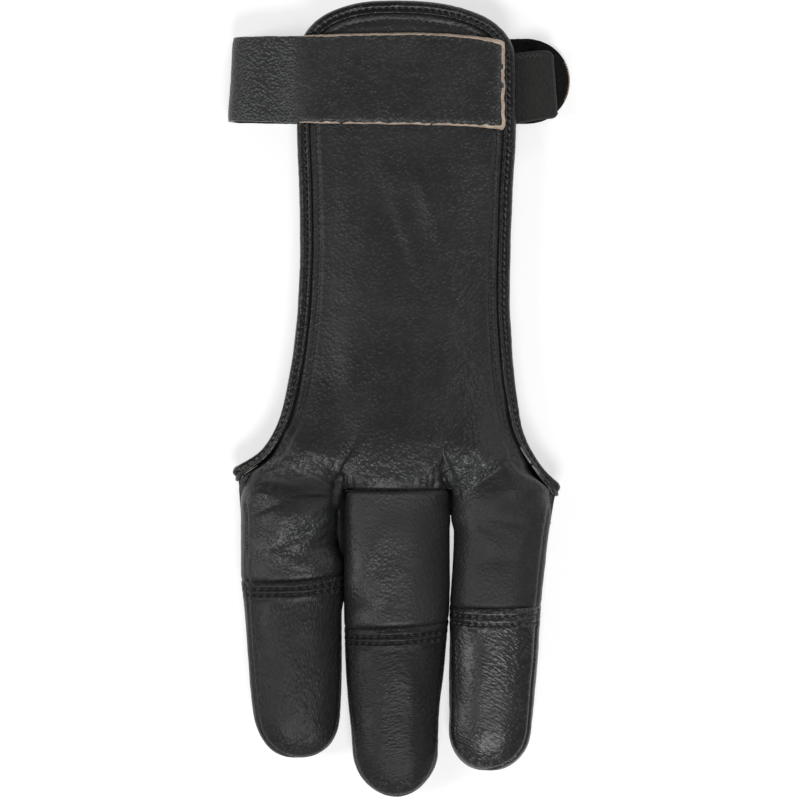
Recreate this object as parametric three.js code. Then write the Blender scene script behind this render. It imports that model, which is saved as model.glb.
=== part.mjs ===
// A three-finger archery glove of soft leather, lying on its palm side.
// Millimetres, +X to the index finger's side, +Y towards the wrist, +Z up through the back of the hand.
// While it is being shaped, y = 0 is the knuckle seam and z = 0 is the surface that the glove lies on.
import * as THREE from "three";

const { clamp, lerp, smoothstep } = THREE.MathUtils;

// Leather and joints
const leather = 1.4;
const capLeather = 1.5;
const bindingLeather = 0.9;
const strapLeather = 1.6;
const clearance = 0.3;

// The back of the glove
const backLength = 141;
const backWidth = 58.6;
const backShift = 1.3;
const wristHeight = 14.5;
const archPower = 2.2;
const domeHeight = 17.3;
const domePower = 2.4;
const domePeakShare = 0.435;

// The fingers and the knuckles
const fingerGap = 0.45;
const middleShift = -0.95;
const seamHeight = 9.2;
const sectionPower = 2.25;
const palmFlatness = 1.15;
const crotchDepth = 7.5;
const valleyLength = 9;
const knuckleBlend = 34;
const flareLength = 14;
const sleeveOverlap = 12;
const neckLength = 3;

// The palm edge
const leftCorner = 5;
const rightCorner = 0.5;
const palmBow = 1.5;
const palmSettle = 14;
const palmLift = 2.6;

// The binding
const bindingReach = 2.4;
const bindingRoom = 0.45;
const bindingMouth = 0.4;
const cornerMouth = 0.9;
const innerCornerMouth = 2.2;
const bindingSeat = 0.3;
const wristDrop = bindingLeather + clearance + bindingMouth + bindingSeat;

// The wrist strap and its fasteners
const strapWidth = 25.4;
const strapEnd = 30.3;
const strapReach = 49.7;
const strapPlace = 119.7;
const foldStart = -36;
const padLeather = 1.4;
const padLength = 62;
const padMargin = 0.8;
const elasticWidth = 19.8;
const elasticThickness = 1.2;
const elasticPlace = 117.2;
const elasticReach = 45.9;
const elasticStart = 22;
const elasticReturn = 16;
const hookThickness = 1.2;
const hookLength = 23;

// Rows across the back: how far each side flares from the waist to the knuckles (0 to 1), how far each side
// edge has sunk to the finger seams (0 to 1), and how far the crown has risen to the knuckles (0 to 1).
// Column at is a share of backLength from the knuckle seam.
const backSections = [
  { at: 0.0, left: 1.0, right: 1.0, lowLeft: 1.0, lowRight: 1.0, rise: 1.0 },
  { at: 0.035, left: 1.0, right: 0.735, lowLeft: 1.0, lowRight: 0.72, rise: 1.0 },
  { at: 0.054, left: 0.842, right: 0.592, lowLeft: 0.75, lowRight: 0.5, rise: 0.99 },
  { at: 0.075, left: 0.626, right: 0.463, lowLeft: 0.45, lowRight: 0.32, rise: 0.97 },
  { at: 0.098, left: 0.495, right: 0.349, lowLeft: 0.25, lowRight: 0.2, rise: 0.93 },
  { at: 0.14, left: 0.339, right: 0.223, lowLeft: 0.08, lowRight: 0.06, rise: 0.83 },
  { at: 0.184, left: 0.247, right: 0.164, lowLeft: 0.0, lowRight: 0.0, rise: 0.72 },
  { at: 0.225, left: 0.184, right: 0.106, lowLeft: 0.0, lowRight: 0.0, rise: 0.62 },
  { at: 0.307, left: 0.089, right: 0.041, lowLeft: 0.0, lowRight: 0.0, rise: 0.44 },
  { at: 0.388, left: 0.032, right: 0.0, lowLeft: 0.0, lowRight: 0.0, rise: 0.3 },
  { at: 0.511, left: 0.0, right: 0.02, lowLeft: 0.0, lowRight: 0.0, rise: 0.14 },
  { at: 0.633, left: 0.016, right: 0.062, lowLeft: 0.0, lowRight: 0.0, rise: 0.04 },
  { at: 0.739, left: 0.047, right: 0.12, lowLeft: 0.0, lowRight: 0.0, rise: 0.0 },
  { at: 1.0, left: 0.047, right: 0.116, lowLeft: 0.0, lowRight: 0.0, rise: 0.0 },
];

// Each finger: its width at the knuckle seam, its length from there to the tip, its height, its rounded tip,
// and where the cap starts at its left side, middle and right side. Column at of sections is a share of
// the length, left and right are shares of the width from the finger's middle line, and top is a share of
// the height.
const ring = {
  width: 30.6,
  length: 78.2,
  height: 18.5,
  tipLength: 14,
  tipPower: 2.4,
  rim: { left: 26.2, middle: 26.4, right: 23.4 },
  sections: [
    { at: 0.0, left: -0.5, right: 0.5, top: 1.1 },
    { at: 0.12, left: -0.484, right: 0.48, top: 1.04 },
    { at: 0.3, left: -0.484, right: 0.477, top: 1.02 },
    { at: 0.45, left: -0.448, right: 0.48, top: 1.0 },
    { at: 0.7, left: -0.402, right: 0.474, top: 0.95 },
    { at: 0.85, left: -0.359, right: 0.461, top: 0.9 },
    { at: 1.0, left: -0.317, right: 0.448, top: 0.86 },
  ],
};
const middle = {
  width: 30.1,
  length: 89.5,
  height: 19.5,
  tipLength: 13,
  tipPower: 2.0,
  rim: { left: 39.7, middle: 39.8, right: 37.4 },
  sections: [
    { at: 0.0, left: -0.5, right: 0.5, top: 1.08 },
    { at: 0.1, left: -0.513, right: 0.507, top: 1.04 },
    { at: 0.3, left: -0.52, right: 0.51, top: 1.0 },
    { at: 0.45, left: -0.513, right: 0.49, top: 0.98 },
    { at: 0.6, left: -0.497, right: 0.447, top: 0.96 },
    { at: 0.8, left: -0.443, right: 0.397, top: 0.9 },
    { at: 0.9, left: -0.427, right: 0.39, top: 0.87 },
    { at: 1.0, left: -0.407, right: 0.377, top: 0.84 },
  ],
};
const index = {
  width: 30.6,
  length: 82,
  height: 19,
  tipLength: 13,
  tipPower: 2.2,
  rim: { left: 33.2, middle: 34.4, right: 33.2 },
  sections: [
    { at: 0.0, left: -0.5, right: 0.5, top: 1.1 },
    { at: 0.09, left: -0.49, right: 0.464, top: 1.05 },
    { at: 0.15, left: -0.467, right: 0.441, top: 1.03 },
    { at: 0.3, left: -0.484, right: 0.392, top: 1.0 },
    { at: 0.42, left: -0.506, right: 0.363, top: 0.98 },
    { at: 0.6, left: -0.51, right: 0.33, top: 0.95 },
    { at: 0.8, left: -0.513, right: 0.284, top: 0.9 },
    { at: 1.0, left: -0.523, right: 0.242, top: 0.85 },
  ],
};
const fingers = [ring, middle, index];
middle.x = middleShift;
ring.x = middle.x - middle.width / 2 - fingerGap - ring.width / 2;
index.x = middle.x + middle.width / 2 + fingerGap + index.width / 2;
const knuckleLeft = ring.x - ring.width / 2;
const knuckleRight = index.x + index.width / 2;
const knuckleWidth = knuckleRight - knuckleLeft;
const knuckleHeight = middle.height * middle.sections[0].top;

// The main folds of the back: each is a soft ridge, or with a negative rise a hollow. Columns x and length are
// shares of knuckleWidth, y and width are shares of backLength, turn is degrees from the x axis, rise is mm.
const folds = [
  { x: -0.3, y: 0.06, turn: -8, length: 0.12, width: 0.03, rise: 0.9 },
  { x: -0.32, y: -0.035, turn: 6, length: 0.16, width: 0.018, rise: -1.4 },
  { x: -0.33, y: -0.095, turn: 4, length: 0.13, width: 0.02, rise: 1.2 },
  { x: -0.26, y: -0.14, turn: 28, length: 0.11, width: 0.014, rise: -0.8 },
  { x: 0.2, y: 0.04, turn: -24, length: 0.15, width: 0.02, rise: 1.0 },
  { x: 0.12, y: 0.012, turn: 62, length: 0.1, width: 0.018, rise: -0.8 },
  { x: -0.12, y: 0.42, turn: 82, length: 0.36, width: 0.03, rise: 0.6 },
  { x: 0.02, y: 0.4, turn: 86, length: 0.3, width: 0.03, rise: -0.5 },
];

// The strap's two edges along its path from the sewn end to the round end, as shares of strapWidth.
const strapSections = [
  { at: 0.0, low: -0.594, high: 0.433 },
  { at: 0.05, low: -0.555, high: 0.484 },
  { at: 0.13, low: -0.535, high: 0.52 },
  { at: 0.27, low: -0.52, high: 0.504 },
  { at: 0.34, low: -0.508, high: 0.484 },
  { at: 0.44, low: -0.48, high: 0.484 },
  { at: 0.55, low: -0.49, high: 0.49 },
  { at: 1.0, low: -0.49, high: 0.49 },
];

// How finely each form is divided
const columnsPerFinger = 7;
const capSides = 18;
const capRows = 11;
const straightRows = 12;
const domeRows = 6;
const sleeveRows = 9;
const bandRows = 5;
const edgeSteps = 21;
const foldSteps = 12;
const ribbonStep = 7;

// The value of one column of a table at a place between its rows, on a smooth curve through them.
function read(table, column, at) {
  const place = clamp(at, table[0].at, table[table.length - 1].at);
  let i = 0;
  while (i < table.length - 2 && place > table[i + 1].at) {
    i += 1;
  }
  const grade = (k) => (table[k + 1][column] - table[k][column]) / (table[k + 1].at - table[k].at);
  const gradeAt = (k) => {
    if (k === 0 || k === table.length - 1) {
      return grade(Math.min(k, table.length - 2));
    }
    const product = grade(k - 1) * grade(k);
    return product <= 0 ? 0 : (2 * product) / (grade(k - 1) + grade(k));
  };
  const span = table[i + 1].at - table[i].at;
  const t = (place - table[i].at) / span;
  const ends = table[i][column] * (1 + 2 * t) * (1 - t) ** 2 + table[i + 1][column] * t * t * (3 - 2 * t);
  const grades = gradeAt(i) * t * (1 - t) ** 2 - gradeAt(i + 1) * t * t * (1 - t);
  return ends + grades * span;
}

const powered = (value, power) => Math.sign(value) * Math.abs(value) ** (2 / power);

// A share that falls from 1 to 0 as a rounded tip closes, for a distance from the tip.
function rounded(distance, length, power) {
  const open = clamp(distance / length, 0, 1);
  return (1 - (1 - open) ** power) ** (1 / power);
}

// The two side edges of the back, and the height of its crown and of its edges, at a place along it.
function backSpan(y) {
  const at = y / backLength;
  const waistLeft = backShift - backWidth / 2;
  const waistRight = backShift + backWidth / 2;
  const crown = lerp(wristHeight, knuckleHeight, read(backSections, "rise", at));
  const edge = wristHeight - wristDrop;
  return {
    left: lerp(waistLeft, knuckleLeft, read(backSections, "left", at)),
    right: lerp(waistRight, knuckleRight, read(backSections, "right", at)),
    lowLeft: lerp(edge, seamHeight + clearance / 2, read(backSections, "lowLeft", at)),
    lowRight: lerp(edge, seamHeight + clearance / 2, read(backSections, "lowRight", at)),
    crown,
  };
}

// The two sides of one finger at a place along it. Above the knuckle seam they follow the back's outline.
function fingerSpan(finger, y) {
  const at = -y / finger.length;
  const left = finger.x + finger.width * read(finger.sections, "left", at);
  const right = finger.x + finger.width * read(finger.sections, "right", at);
  if (y <= 0) {
    return { left, right };
  }
  const back = backSpan(y);
  const onBack = (x) => lerp(back.left, back.right, (x - knuckleLeft) / knuckleWidth);
  return { left: onBack(left), right: onBack(right) };
}

const topOf = (finger, y) => finger.height * read(finger.sections, "top", -y / finger.length);

// Where a finger's cap starts, at a place across the finger from 0 to 1.
function rimAt(finger, across) {
  const { left, right } = finger.rim;
  const bulge = finger.rim.middle - (left + right) / 2;
  return -(lerp(left, right, across) + bulge * 4 * across * (1 - across));
}

// How far the sleeve lies inside the finger's outline: it necks in to fit under the cap.
function neckAt(finger, across, y) {
  const before = y - rimAt(finger, across) - clearance;
  return (capLeather + clearance + 0.1) * (1 - smoothstep(before, 0, neckLength));
}

// How far the leather between two knuckles has sunk, from 0 on the back to 1 at the finger crotch.
const valleyAt = (y) => smoothstep(-y, -valleyLength, crotchDepth);

// The seam height of one side of a finger's back half, and of its palm half.
function lowSide(finger, side, y) {
  const outer = (finger === ring && side === "left") || (finger === index && side === "right");
  if (outer) {
    return backSpan(Math.max(y, 0))[side === "left" ? "lowLeft" : "lowRight"];
  }
  if (y < -crotchDepth) {
    return seamHeight + clearance / 2;
  }
  const crest = Math.min(topOf(finger, y), backSpan(Math.max(y, 0)).crown);
  return lerp(crest, seamHeight + leather + clearance, valleyAt(y));
}

const palmFloor = (y) => palmLift * (1 - smoothstep(leftCorner - y, 0, palmSettle));

function highSide(finger, side, y) {
  const outer = (finger === ring && side === "left") || (finger === index && side === "right");
  if (outer || y < -crotchDepth) {
    return seamHeight - clearance / 2;
  }
  const webStart = palmEdge(0.5) - bindingReach - clearance;
  const web = smoothstep(webStart - y, 0, webStart + crotchDepth);
  return lerp(palmFloor(y), seamHeight - leather - clearance, web);
}

// One point of a finger's outline, at a place across it from 0 to 1, on its back or its palm side.
function tubePoint(finger, across, y, onBack, neck = 0) {
  const tip = rounded(y + finger.length, finger.tipLength, finger.tipPower);
  const span = fingerSpan(finger, y);
  const half = Math.max(((span.right - span.left) / 2) * tip - neck, 0);
  const turn = Math.PI * across;
  const x = (span.left + span.right) / 2 - half * powered(Math.cos(turn), sectionPower);
  const bulge = powered(Math.sin(turn), sectionPower);
  if (onBack) {
    const low = lerp(lowSide(finger, "left", y), lowSide(finger, "right", y), across);
    const top = seamHeight + (topOf(finger, y) - seamHeight) * tip - neck;
    return new THREE.Vector3(x, y, low + (top - low) * bulge);
  }
  const high = lerp(highSide(finger, "left", y), highSide(finger, "right", y), across);
  const bottom = seamHeight - (seamHeight - palmFloor(y)) * tip + neck;
  return new THREE.Vector3(x, y, Math.max(bottom, high - (high - bottom) * palmFlatness * bulge));
}

// The height that the folds add to the back at a point.
function foldRise(x, y) {
  let rise = 0;
  for (const fold of folds) {
    const turn = THREE.MathUtils.degToRad(fold.turn);
    const dx = x - fold.x * knuckleWidth;
    const dy = y - fold.y * backLength;
    const along = (dx * Math.cos(turn) + dy * Math.sin(turn)) / (fold.length * knuckleWidth);
    const aside = (dy * Math.cos(turn) - dx * Math.sin(turn)) / (fold.width * backLength);
    rise += fold.rise * Math.exp(-along * along - aside * aside);
  }
  return rise;
}

// How near a place across a finger is to the glove's own side: 1 at the side, 0 at the next finger.
function outwards(finger, across) {
  if (finger === middle) {
    return 0;
  }
  return finger === ring ? 1 - across : across;
}

// One point on the outer face of the back, on the stretch of it that belongs to one finger.
function backPoint(finger, across, y) {
  const neck = neckAt(finger, across, y);
  const tube = tubePoint(finger, across, y, true, neck);
  const relief = Math.sin(Math.PI * across);
  if (y <= 0) {
    tube.z += foldRise(tube.x, y) * relief;
    return tube;
  }
  const back = backSpan(y);
  const span = fingerSpan(finger, y);
  const x = lerp(span.left, span.right, across);
  const share = (x - back.left) / (back.right - back.left);
  const edge = lerp(back.lowLeft, back.lowRight, share);
  const arch = 1 - Math.abs(2 * share - 1) ** archPower;
  const flat = new THREE.Vector3(x, y, edge + (back.crown - edge) * arch);
  const blend = 1 - smoothstep(y, 0, knuckleBlend);
  const flare = clamp(2 * outwards(finger, across), 0, 1) * smoothstep(y, 0, flareLength);
  const point = flat.lerp(tube, blend);
  point.x = lerp(point.x, x, flare);
  point.z += foldRise(point.x, y) * lerp(arch, relief, blend);
  return point;
}

const palmPoint = (finger, across, y) => tubePoint(finger, across, y, false, neckAt(finger, across, y));
const palmEdge = (share) => lerp(leftCorner, rightCorner, share) + palmBow * Math.sin(Math.PI * share);

// The columns of the back and of the palm: each finger's own, side by side.
const columns = fingers.flatMap((finger) =>
  Array.from({ length: columnsPerFinger + 1 }, (_, k) => ({ finger, across: k / columnsPerFinger })),
);
const isGap = (column) => columns[column].finger !== columns[column + 1].finger;
const shareOf = ({ finger, across }) => {
  const { left, right } = fingerSpan(finger, 0);
  return (lerp(left, right, across) - knuckleLeft) / knuckleWidth;
};

// How far up the rounded wrist edge lies, at a share of the back's width.
const domeStart = backLength - domeHeight;
function domeAt(share) {
  const reach = share < domePeakShare ? domePeakShare : 1 - domePeakShare;
  const aside = Math.abs(share - domePeakShare) / reach;
  return domeStart + domeHeight * (1 - aside ** domePower) ** (1 / domePower);
}

// The end of the straight rows is just below the strap, and the rows past it bend up to the wrist edge.
const straightEnd = strapPlace - strapWidth * 0.6;
function backRowY(share, row) {
  const start = clearance / 2;
  if (row <= straightRows) {
    return lerp(start, straightEnd, (row / straightRows) ** 1.5);
  }
  const climb = Math.sin(((row - straightRows) / domeRows) * (Math.PI / 2));
  return lerp(straightEnd, domeAt(share), climb);
}
const sleeveEnd = (finger) => -(finger.rim.middle + sleeveOverlap);
function sleeveY(finger, across, row, start) {
  const necked = rimAt(finger, across) + clearance;
  if (row > sleeveRows - 2) {
    return row === sleeveRows ? sleeveEnd(finger) : necked;
  }
  return lerp(start, necked + neckLength, row / (sleeveRows - 2));
}

// An indexed geometry from points and faces. Faces turn anticlockwise seen from outside.
function geometryFrom(points, faces) {
  const geometry = new THREE.BufferGeometry();
  const positions = points.flatMap((point) => [point.x, point.y, point.z]);
  geometry.setAttribute("position", new THREE.Float32BufferAttribute(positions, 3));
  const fans = faces.flatMap((face) => face.slice(2).flatMap((_, k) => [face[0], face[k + 1], face[k + 2]]));
  geometry.setIndex(fans);
  geometry.computeVertexNormals();
  return geometry;
}

function faceNormal(points, face) {
  const across = points[face[2]].clone().sub(points[face[0]]);
  const along = points[face[face.length - 1]].clone().sub(points[face[1]]);
  return across.cross(along);
}

// A closed wall: an outer skin of faces, an inner skin one wall behind it, and a rim along each open edge.
// The inner skin stays between two heights, so that halves that meet at a seam keep their gap.
function wallGeometry(points, skin, wall, lowest = -Infinity, highest = Infinity) {
  const normals = points.map(() => new THREE.Vector3());
  for (const face of skin) {
    const normal = faceNormal(points, face);
    face.forEach((corner) => normals[corner].add(normal));
  }
  const used = points.map((_, k) => normals[k].lengthSq() > 0);
  const inner = points.map((point, k) => point.clone().addScaledVector(normals[k].normalize(), -wall));
  inner.forEach((point) => point.setZ(clamp(point.z, lowest, highest)));
  const place = [];
  const kept = [];
  points.forEach((point, k) => {
    if (used[k]) {
      place[k] = kept.length;
      kept.push(point);
    }
  });
  const count = kept.length;
  inner.forEach((point, k) => used[k] && kept.push(point));
  const outerFaces = skin.map((face) => face.map((corner) => place[corner]));
  const faces = [...outerFaces];
  outerFaces.forEach((face) => faces.push(face.map((corner) => corner + count).reverse()));
  const edges = new Set();
  const eachEdge = (face, use) => face.forEach((corner, k) => use(corner, face[(k + 1) % face.length]));
  outerFaces.forEach((face) => eachEdge(face, (from, to) => edges.add(`${from},${to}`)));
  outerFaces.forEach((face) =>
    eachEdge(face, (from, to) => {
      if (!edges.has(`${to},${from}`)) {
        faces.push([to, from, from + count, to + count]);
      }
    }),
  );
  return geometryFrom(kept, faces);
}

// The faces of a grid of points, rows by columns, less the cells that are cut out.
function gridFaces(rows, columnCount, isCut, wraps = false) {
  const faces = [];
  const cells = wraps ? columnCount : columnCount - 1;
  for (let row = 0; row < rows - 1; row += 1) {
    for (let column = 0; column < cells; column += 1) {
      if (!isCut(row, column)) {
        const next = (column + 1) % columnCount;
        const [near, far] = [row * columnCount, (row + 1) * columnCount];
        faces.push([near + column, near + next, far + next, far + column]);
      }
    }
  }
  return faces;
}

// A body swept through closed sections of equal count, as a closed ring or with two flat ends.
function sweptGeometry(sections, isRing) {
  const count = sections[0].length;
  const points = sections.flat();
  const rows = isRing ? [...sections.keys(), 0] : [...sections.keys()];
  const faces = [];
  for (let k = 0; k < rows.length - 1; k += 1) {
    for (let side = 0; side < count; side += 1) {
      const next = (side + 1) % count;
      const [near, far] = [rows[k] * count, rows[k + 1] * count];
      faces.push([near + side, near + next, far + next, far + side]);
    }
  }
  if (!isRing) {
    faces.push([...sections[0].keys()].reverse());
    faces.push([...sections[0].keys()].map((side) => side + (sections.length - 1) * count));
  }
  return geometryFrom(points, faces);
}

// The back: its rows run from the two outer sleeves' ends up to the wrist edge.
function backPanel() {
  const points = [];
  for (let row = sleeveRows; row > 0; row -= 1) {
    for (const { finger, across } of columns) {
      points.push(backPoint(finger, across, sleeveY(finger, across, row, clearance / 2)));
    }
  }
  const panelRows = straightRows + domeRows + 1;
  for (let row = 0; row < panelRows; row += 1) {
    for (const column of columns) {
      points.push(backPoint(column.finger, column.across, backRowY(shareOf(column), row)));
    }
  }
  const isCut = (row, column) => row < sleeveRows && (isGap(column) || columns[column].finger === middle);
  const skin = gridFaces(sleeveRows + panelRows, columns.length, isCut);
  return wallGeometry(points, skin, leather, seamHeight + clearance / 2);
}

function middleFingerBack() {
  const points = [];
  const own = columns.filter((column) => column.finger === middle);
  for (let row = sleeveRows; row >= 0; row -= 1) {
    for (const { across } of own) {
      points.push(backPoint(middle, across, sleeveY(middle, across, row, -clearance / 2)));
    }
  }
  const skin = gridFaces(sleeveRows + 1, own.length, () => false);
  return wallGeometry(points, skin, leather, seamHeight + clearance / 2);
}

// The palm: a band along the palm edge as far as the finger crotches, then the three sleeves' palm halves.
function palmPanel() {
  const points = [];
  for (let row = 0; row <= bandRows; row += 1) {
    for (const column of columns) {
      const y = lerp(palmEdge(shareOf(column)), -crotchDepth, row / bandRows);
      points.push(palmPoint(column.finger, column.across, y));
    }
  }
  for (let row = 1; row <= sleeveRows; row += 1) {
    for (const { finger, across } of columns) {
      points.push(palmPoint(finger, across, sleeveY(finger, across, row, -crotchDepth)));
    }
  }
  const isCut = (row, column) => row >= bandRows && isGap(column);
  const skin = gridFaces(bandRows + sleeveRows + 1, columns.length, isCut);
  return wallGeometry(points, skin, leather, 0, seamHeight - clearance / 2);
}

// A fingertip cap: rings of points round the finger, from the cap's rim to its rounded end.
function fingertipCap(finger) {
  const points = [];
  for (let row = 0; row < capRows; row += 1) {
    const climb = Math.sin((row / capRows) * (Math.PI / 2));
    for (let side = 0; side < capSides; side += 1) {
      const turn = (2 * side) / capSides;
      const onBack = turn <= 1;
      const across = onBack ? turn : 2 - turn;
      const y = lerp(rimAt(finger, across), -finger.length, climb);
      points.push(tubePoint(finger, across, y, onBack));
    }
  }
  points.push(tubePoint(finger, 0.5, -finger.length, true));
  const tip = points.length - 1;
  const faces = gridFaces(capRows, capSides, () => false, true).map((face) => face.reverse());
  for (let side = 0; side < capSides; side += 1) {
    const start = (capRows - 1) * capSides;
    faces.push([start + ((side + 1) % capSides), start + side, tip]);
  }
  return wallGeometry(points, faces, capLeather);
}

// The finger whose stretch of the back or the palm holds a share of the whole width, and the place across it.
function columnAt(share) {
  const finger = fingers.find((one) => shareOf({ finger: one, across: 1 }) >= share - 1e-6) ?? index;
  const [from, to] = [0, 1].map((across) => shareOf({ finger, across }));
  return [finger, clamp((share - from) / (to - from), 0, 1)];
}

// The bound edge, in order: down the left side, along the palm edge, up the right side, over the wrist.
// Each stop has its point on the outer face, and a point further in on the same face.
function boundEdge() {
  const stops = [];
  const columnStep = 1 / columnsPerFinger;
  const sideY = (corner, k) => lerp(corner, domeStart, (k / edgeSteps) ** 1.4);
  const addCorner = (finger, across, y) => {
    const inner = backPoint(finger, lerp(across, 0.5, columnStep), y - bindingReach / 2);
    stops.push({ point: backPoint(finger, across, y + 2 * clearance), inner, isCorner: true });
  };
  for (let k = edgeSteps; k > 0; k -= 1) {
    const y = sideY(leftCorner, k);
    stops.push({ point: backPoint(ring, 0, y), inner: backPoint(ring, columnStep, y) });
  }
  addCorner(ring, 0, leftCorner);
  for (let k = 0; k <= edgeSteps; k += 1) {
    const share = (1 - Math.cos((Math.PI * k) / edgeSteps)) / 2;
    const y = palmEdge(share);
    const deeper = lerp(y, -crotchDepth, 1 / bandRows);
    stops.push({ point: palmPoint(...columnAt(share), y), inner: palmPoint(...columnAt(share), deeper) });
  }
  addCorner(index, 1, rightCorner);
  for (let k = 1; k <= edgeSteps; k += 1) {
    const y = sideY(rightCorner, k);
    stops.push({ point: backPoint(index, 1, y), inner: backPoint(index, 1 - columnStep, y) });
  }
  const lastRow = straightRows + domeRows;
  for (let k = 1; k < edgeSteps; k += 1) {
    const share = (1 + Math.cos((Math.PI * k) / edgeSteps)) / 2;
    const deeper = backPoint(...columnAt(lerp(share, 0.5, 0.12)), backRowY(share, lastRow - 2));
    stops.push({ point: backPoint(...columnAt(share), domeAt(share)), inner: deeper });
  }
  return stops;
}

// The binding: a folded strip whose two legs lie on the two faces of the leather.
function edgeBinding() {
  const inside = leather / 2 + clearance;
  const outside = inside + bindingLeather;
  const fold = bindingRoom + bindingLeather;
  const outlineWith = (mouth, innerMouth) => [
    [bindingReach, outside + mouth],
    [0.2, outside],
    [-fold * 0.7, outside * 0.75],
    [-fold, 0],
    [-fold * 0.7, -outside * 0.75],
    [0.2, -outside],
    [bindingReach, -outside - innerMouth],
    [bindingReach, -inside - innerMouth],
    [-bindingRoom, -inside],
    [-bindingRoom, inside],
    [bindingReach, inside + mouth],
  ];
  const stops = boundEdge();
  const corners = stops.filter((stop) => stop.isCorner);
  const sections = stops.map(({ point, inner }, k) => {
    const before = stops[(k + stops.length - 1) % stops.length].point;
    const after = stops[(k + 1) % stops.length].point;
    const along = after.clone().sub(before).normalize();
    const inwards = inner.clone().sub(point);
    inwards.addScaledVector(along, -inwards.dot(along)).normalize();
    const upright = along.clone().cross(inwards);
    const apart = Math.min(...corners.map((corner) => corner.point.distanceTo(point)));
    const ease = Math.exp(-((apart / bindingReach) ** 2));
    const mouths = [cornerMouth, innerCornerMouth].map((extra) => bindingMouth + extra * ease);
    return outlineWith(...mouths).map(([reach, rise]) =>
      point.clone().addScaledVector(inwards, reach).addScaledVector(upright, rise - leather / 2),
    );
  });
  return sweptGeometry(sections, true);
}

// A flat ribbon along a path in the XZ plane. Each stop has the path's x and z, and the ribbon's two edges in y.
function ribbonGeometry(stops, thickness) {
  const sections = stops.map((stop, k) => {
    const before = stops[Math.max(k - 1, 0)];
    const after = stops[Math.min(k + 1, stops.length - 1)];
    const length = Math.hypot(after.x - before.x, after.z - before.z);
    const sideX = (-(after.z - before.z) / length) * (thickness / 2);
    const sideZ = ((after.x - before.x) / length) * (thickness / 2);
    return [
      new THREE.Vector3(stop.x + sideX, stop.low, stop.z + sideZ),
      new THREE.Vector3(stop.x + sideX, stop.high, stop.z + sideZ),
      new THREE.Vector3(stop.x - sideX, stop.high, stop.z - sideZ),
      new THREE.Vector3(stop.x - sideX, stop.low, stop.z - sideZ),
    ];
  });
  return sweptGeometry(sections, false);
}

// Places from one x to another, about a ribbonStep apart, both ends included.
function spread(from, to) {
  const count = Math.max(1, Math.round(Math.abs(to - from) / ribbonStep));
  return Array.from({ length: count + 1 }, (_, k) => lerp(from, to, k / count));
}

// The fold of a ribbon that leaves at one height and comes back at another, round a side given by its sign.
function foldStops(x, reach, upper, lower, sign, power) {
  const centre = (upper + lower) / 2;
  return Array.from({ length: foldSteps - 1 }, (_, k) => {
    const turn = (Math.PI * (k + 1)) / foldSteps;
    return {
      x: x + sign * reach * powered(Math.sin(turn), power),
      z: centre + ((upper - lower) / 2) * powered(Math.cos(turn), power),
    };
  });
}

const strapUpper = wristHeight + clearance + strapLeather / 2;
const strapLower = strapLeather / 2;
const strapFoldPower = 2.6;

// The half width of a ribbon whose end is round, as a share, at a distance from its end.
const roundEnd = (distance, radius) => Math.sqrt(Math.max(1 - (1 - Math.min(distance / radius, 1)) ** 2, 0));
const roundStops = [1, 0.72, 0.46, 0.25, 0.1, 0.02];

function wristStrap() {
  const reach = strapReach - strapLeather / 2 + foldStart;
  const path = spread(strapEnd, foldStart).map((x) => ({ x, z: strapUpper }));
  path.push(...foldStops(foldStart, reach, strapUpper, strapLower, -1, strapFoldPower));
  const radius = strapWidth * 0.49;
  path.push(...spread(foldStart, strapReach - radius).map((x) => ({ x, z: strapLower })));
  path.push(...roundStops.slice(1).map((share) => ({ x: strapReach - radius * share, z: strapLower })));
  const gone = [0];
  path.slice(1).forEach((stop, k) => gone.push(gone[k] + Math.hypot(stop.x - path[k].x, stop.z - path[k].z)));
  const total = gone[gone.length - 1];
  path.forEach((stop, k) => {
    const isLower = k > path.length / 2;
    const end = isLower ? roundEnd(strapReach - stop.x, radius) : 1;
    stop.low = strapPlace + strapWidth * read(strapSections, "low", gone[k] / total) * end;
    stop.high = strapPlace + strapWidth * read(strapSections, "high", gone[k] / total) * end;
  });
  return ribbonGeometry(path, strapLeather);
}

const loopPadHeight = strapLeather + clearance + padLeather / 2;
const hookHeight = loopPadHeight + padLeather / 2 + clearance + hookThickness / 2;

function strapLoopPad() {
  const end = strapReach - padMargin;
  const radius = strapWidth * 0.49 - padMargin;
  const places = spread(end - padLength, end - radius);
  places.push(...roundStops.slice(1).map((share) => end - radius * share));
  const stops = places.map((x) => {
    const half = radius * roundEnd(end - x, radius);
    return { x, z: loopPadHeight, low: strapPlace - half, high: strapPlace + half };
  });
  return ribbonGeometry(stops, padLeather);
}

function elasticBand() {
  const bindingBottom = wristHeight - wristDrop - leather - clearance - bindingLeather - bindingMouth;
  const upper = bindingBottom - clearance - elasticThickness / 2;
  const lower = hookHeight + hookThickness / 2 + clearance + elasticThickness / 2;
  const sewn = wristHeight - wristDrop - leather - clearance - elasticThickness / 2;
  const stepEnd = backShift + backWidth / 2 - bindingReach;
  const reach = (upper - lower) * 0.9;
  const turn = elasticReach - elasticThickness / 2 - reach;
  const path = [
    { x: elasticStart, z: sewn },
    { x: lerp(elasticStart, stepEnd, 0.4), z: sewn },
    { x: stepEnd, z: upper },
  ];
  path.push(...spread(stepEnd + 3, turn).map((x) => ({ x, z: upper })));
  path.push(...foldStops(turn, reach, upper, lower, 1, 2));
  path.push(...spread(turn, elasticReturn).map((x) => ({ x, z: lower })));
  path.forEach((stop) => {
    stop.low = elasticPlace - elasticWidth / 2;
    stop.high = elasticPlace + elasticWidth / 2;
  });
  return ribbonGeometry(path, elasticThickness);
}

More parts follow.
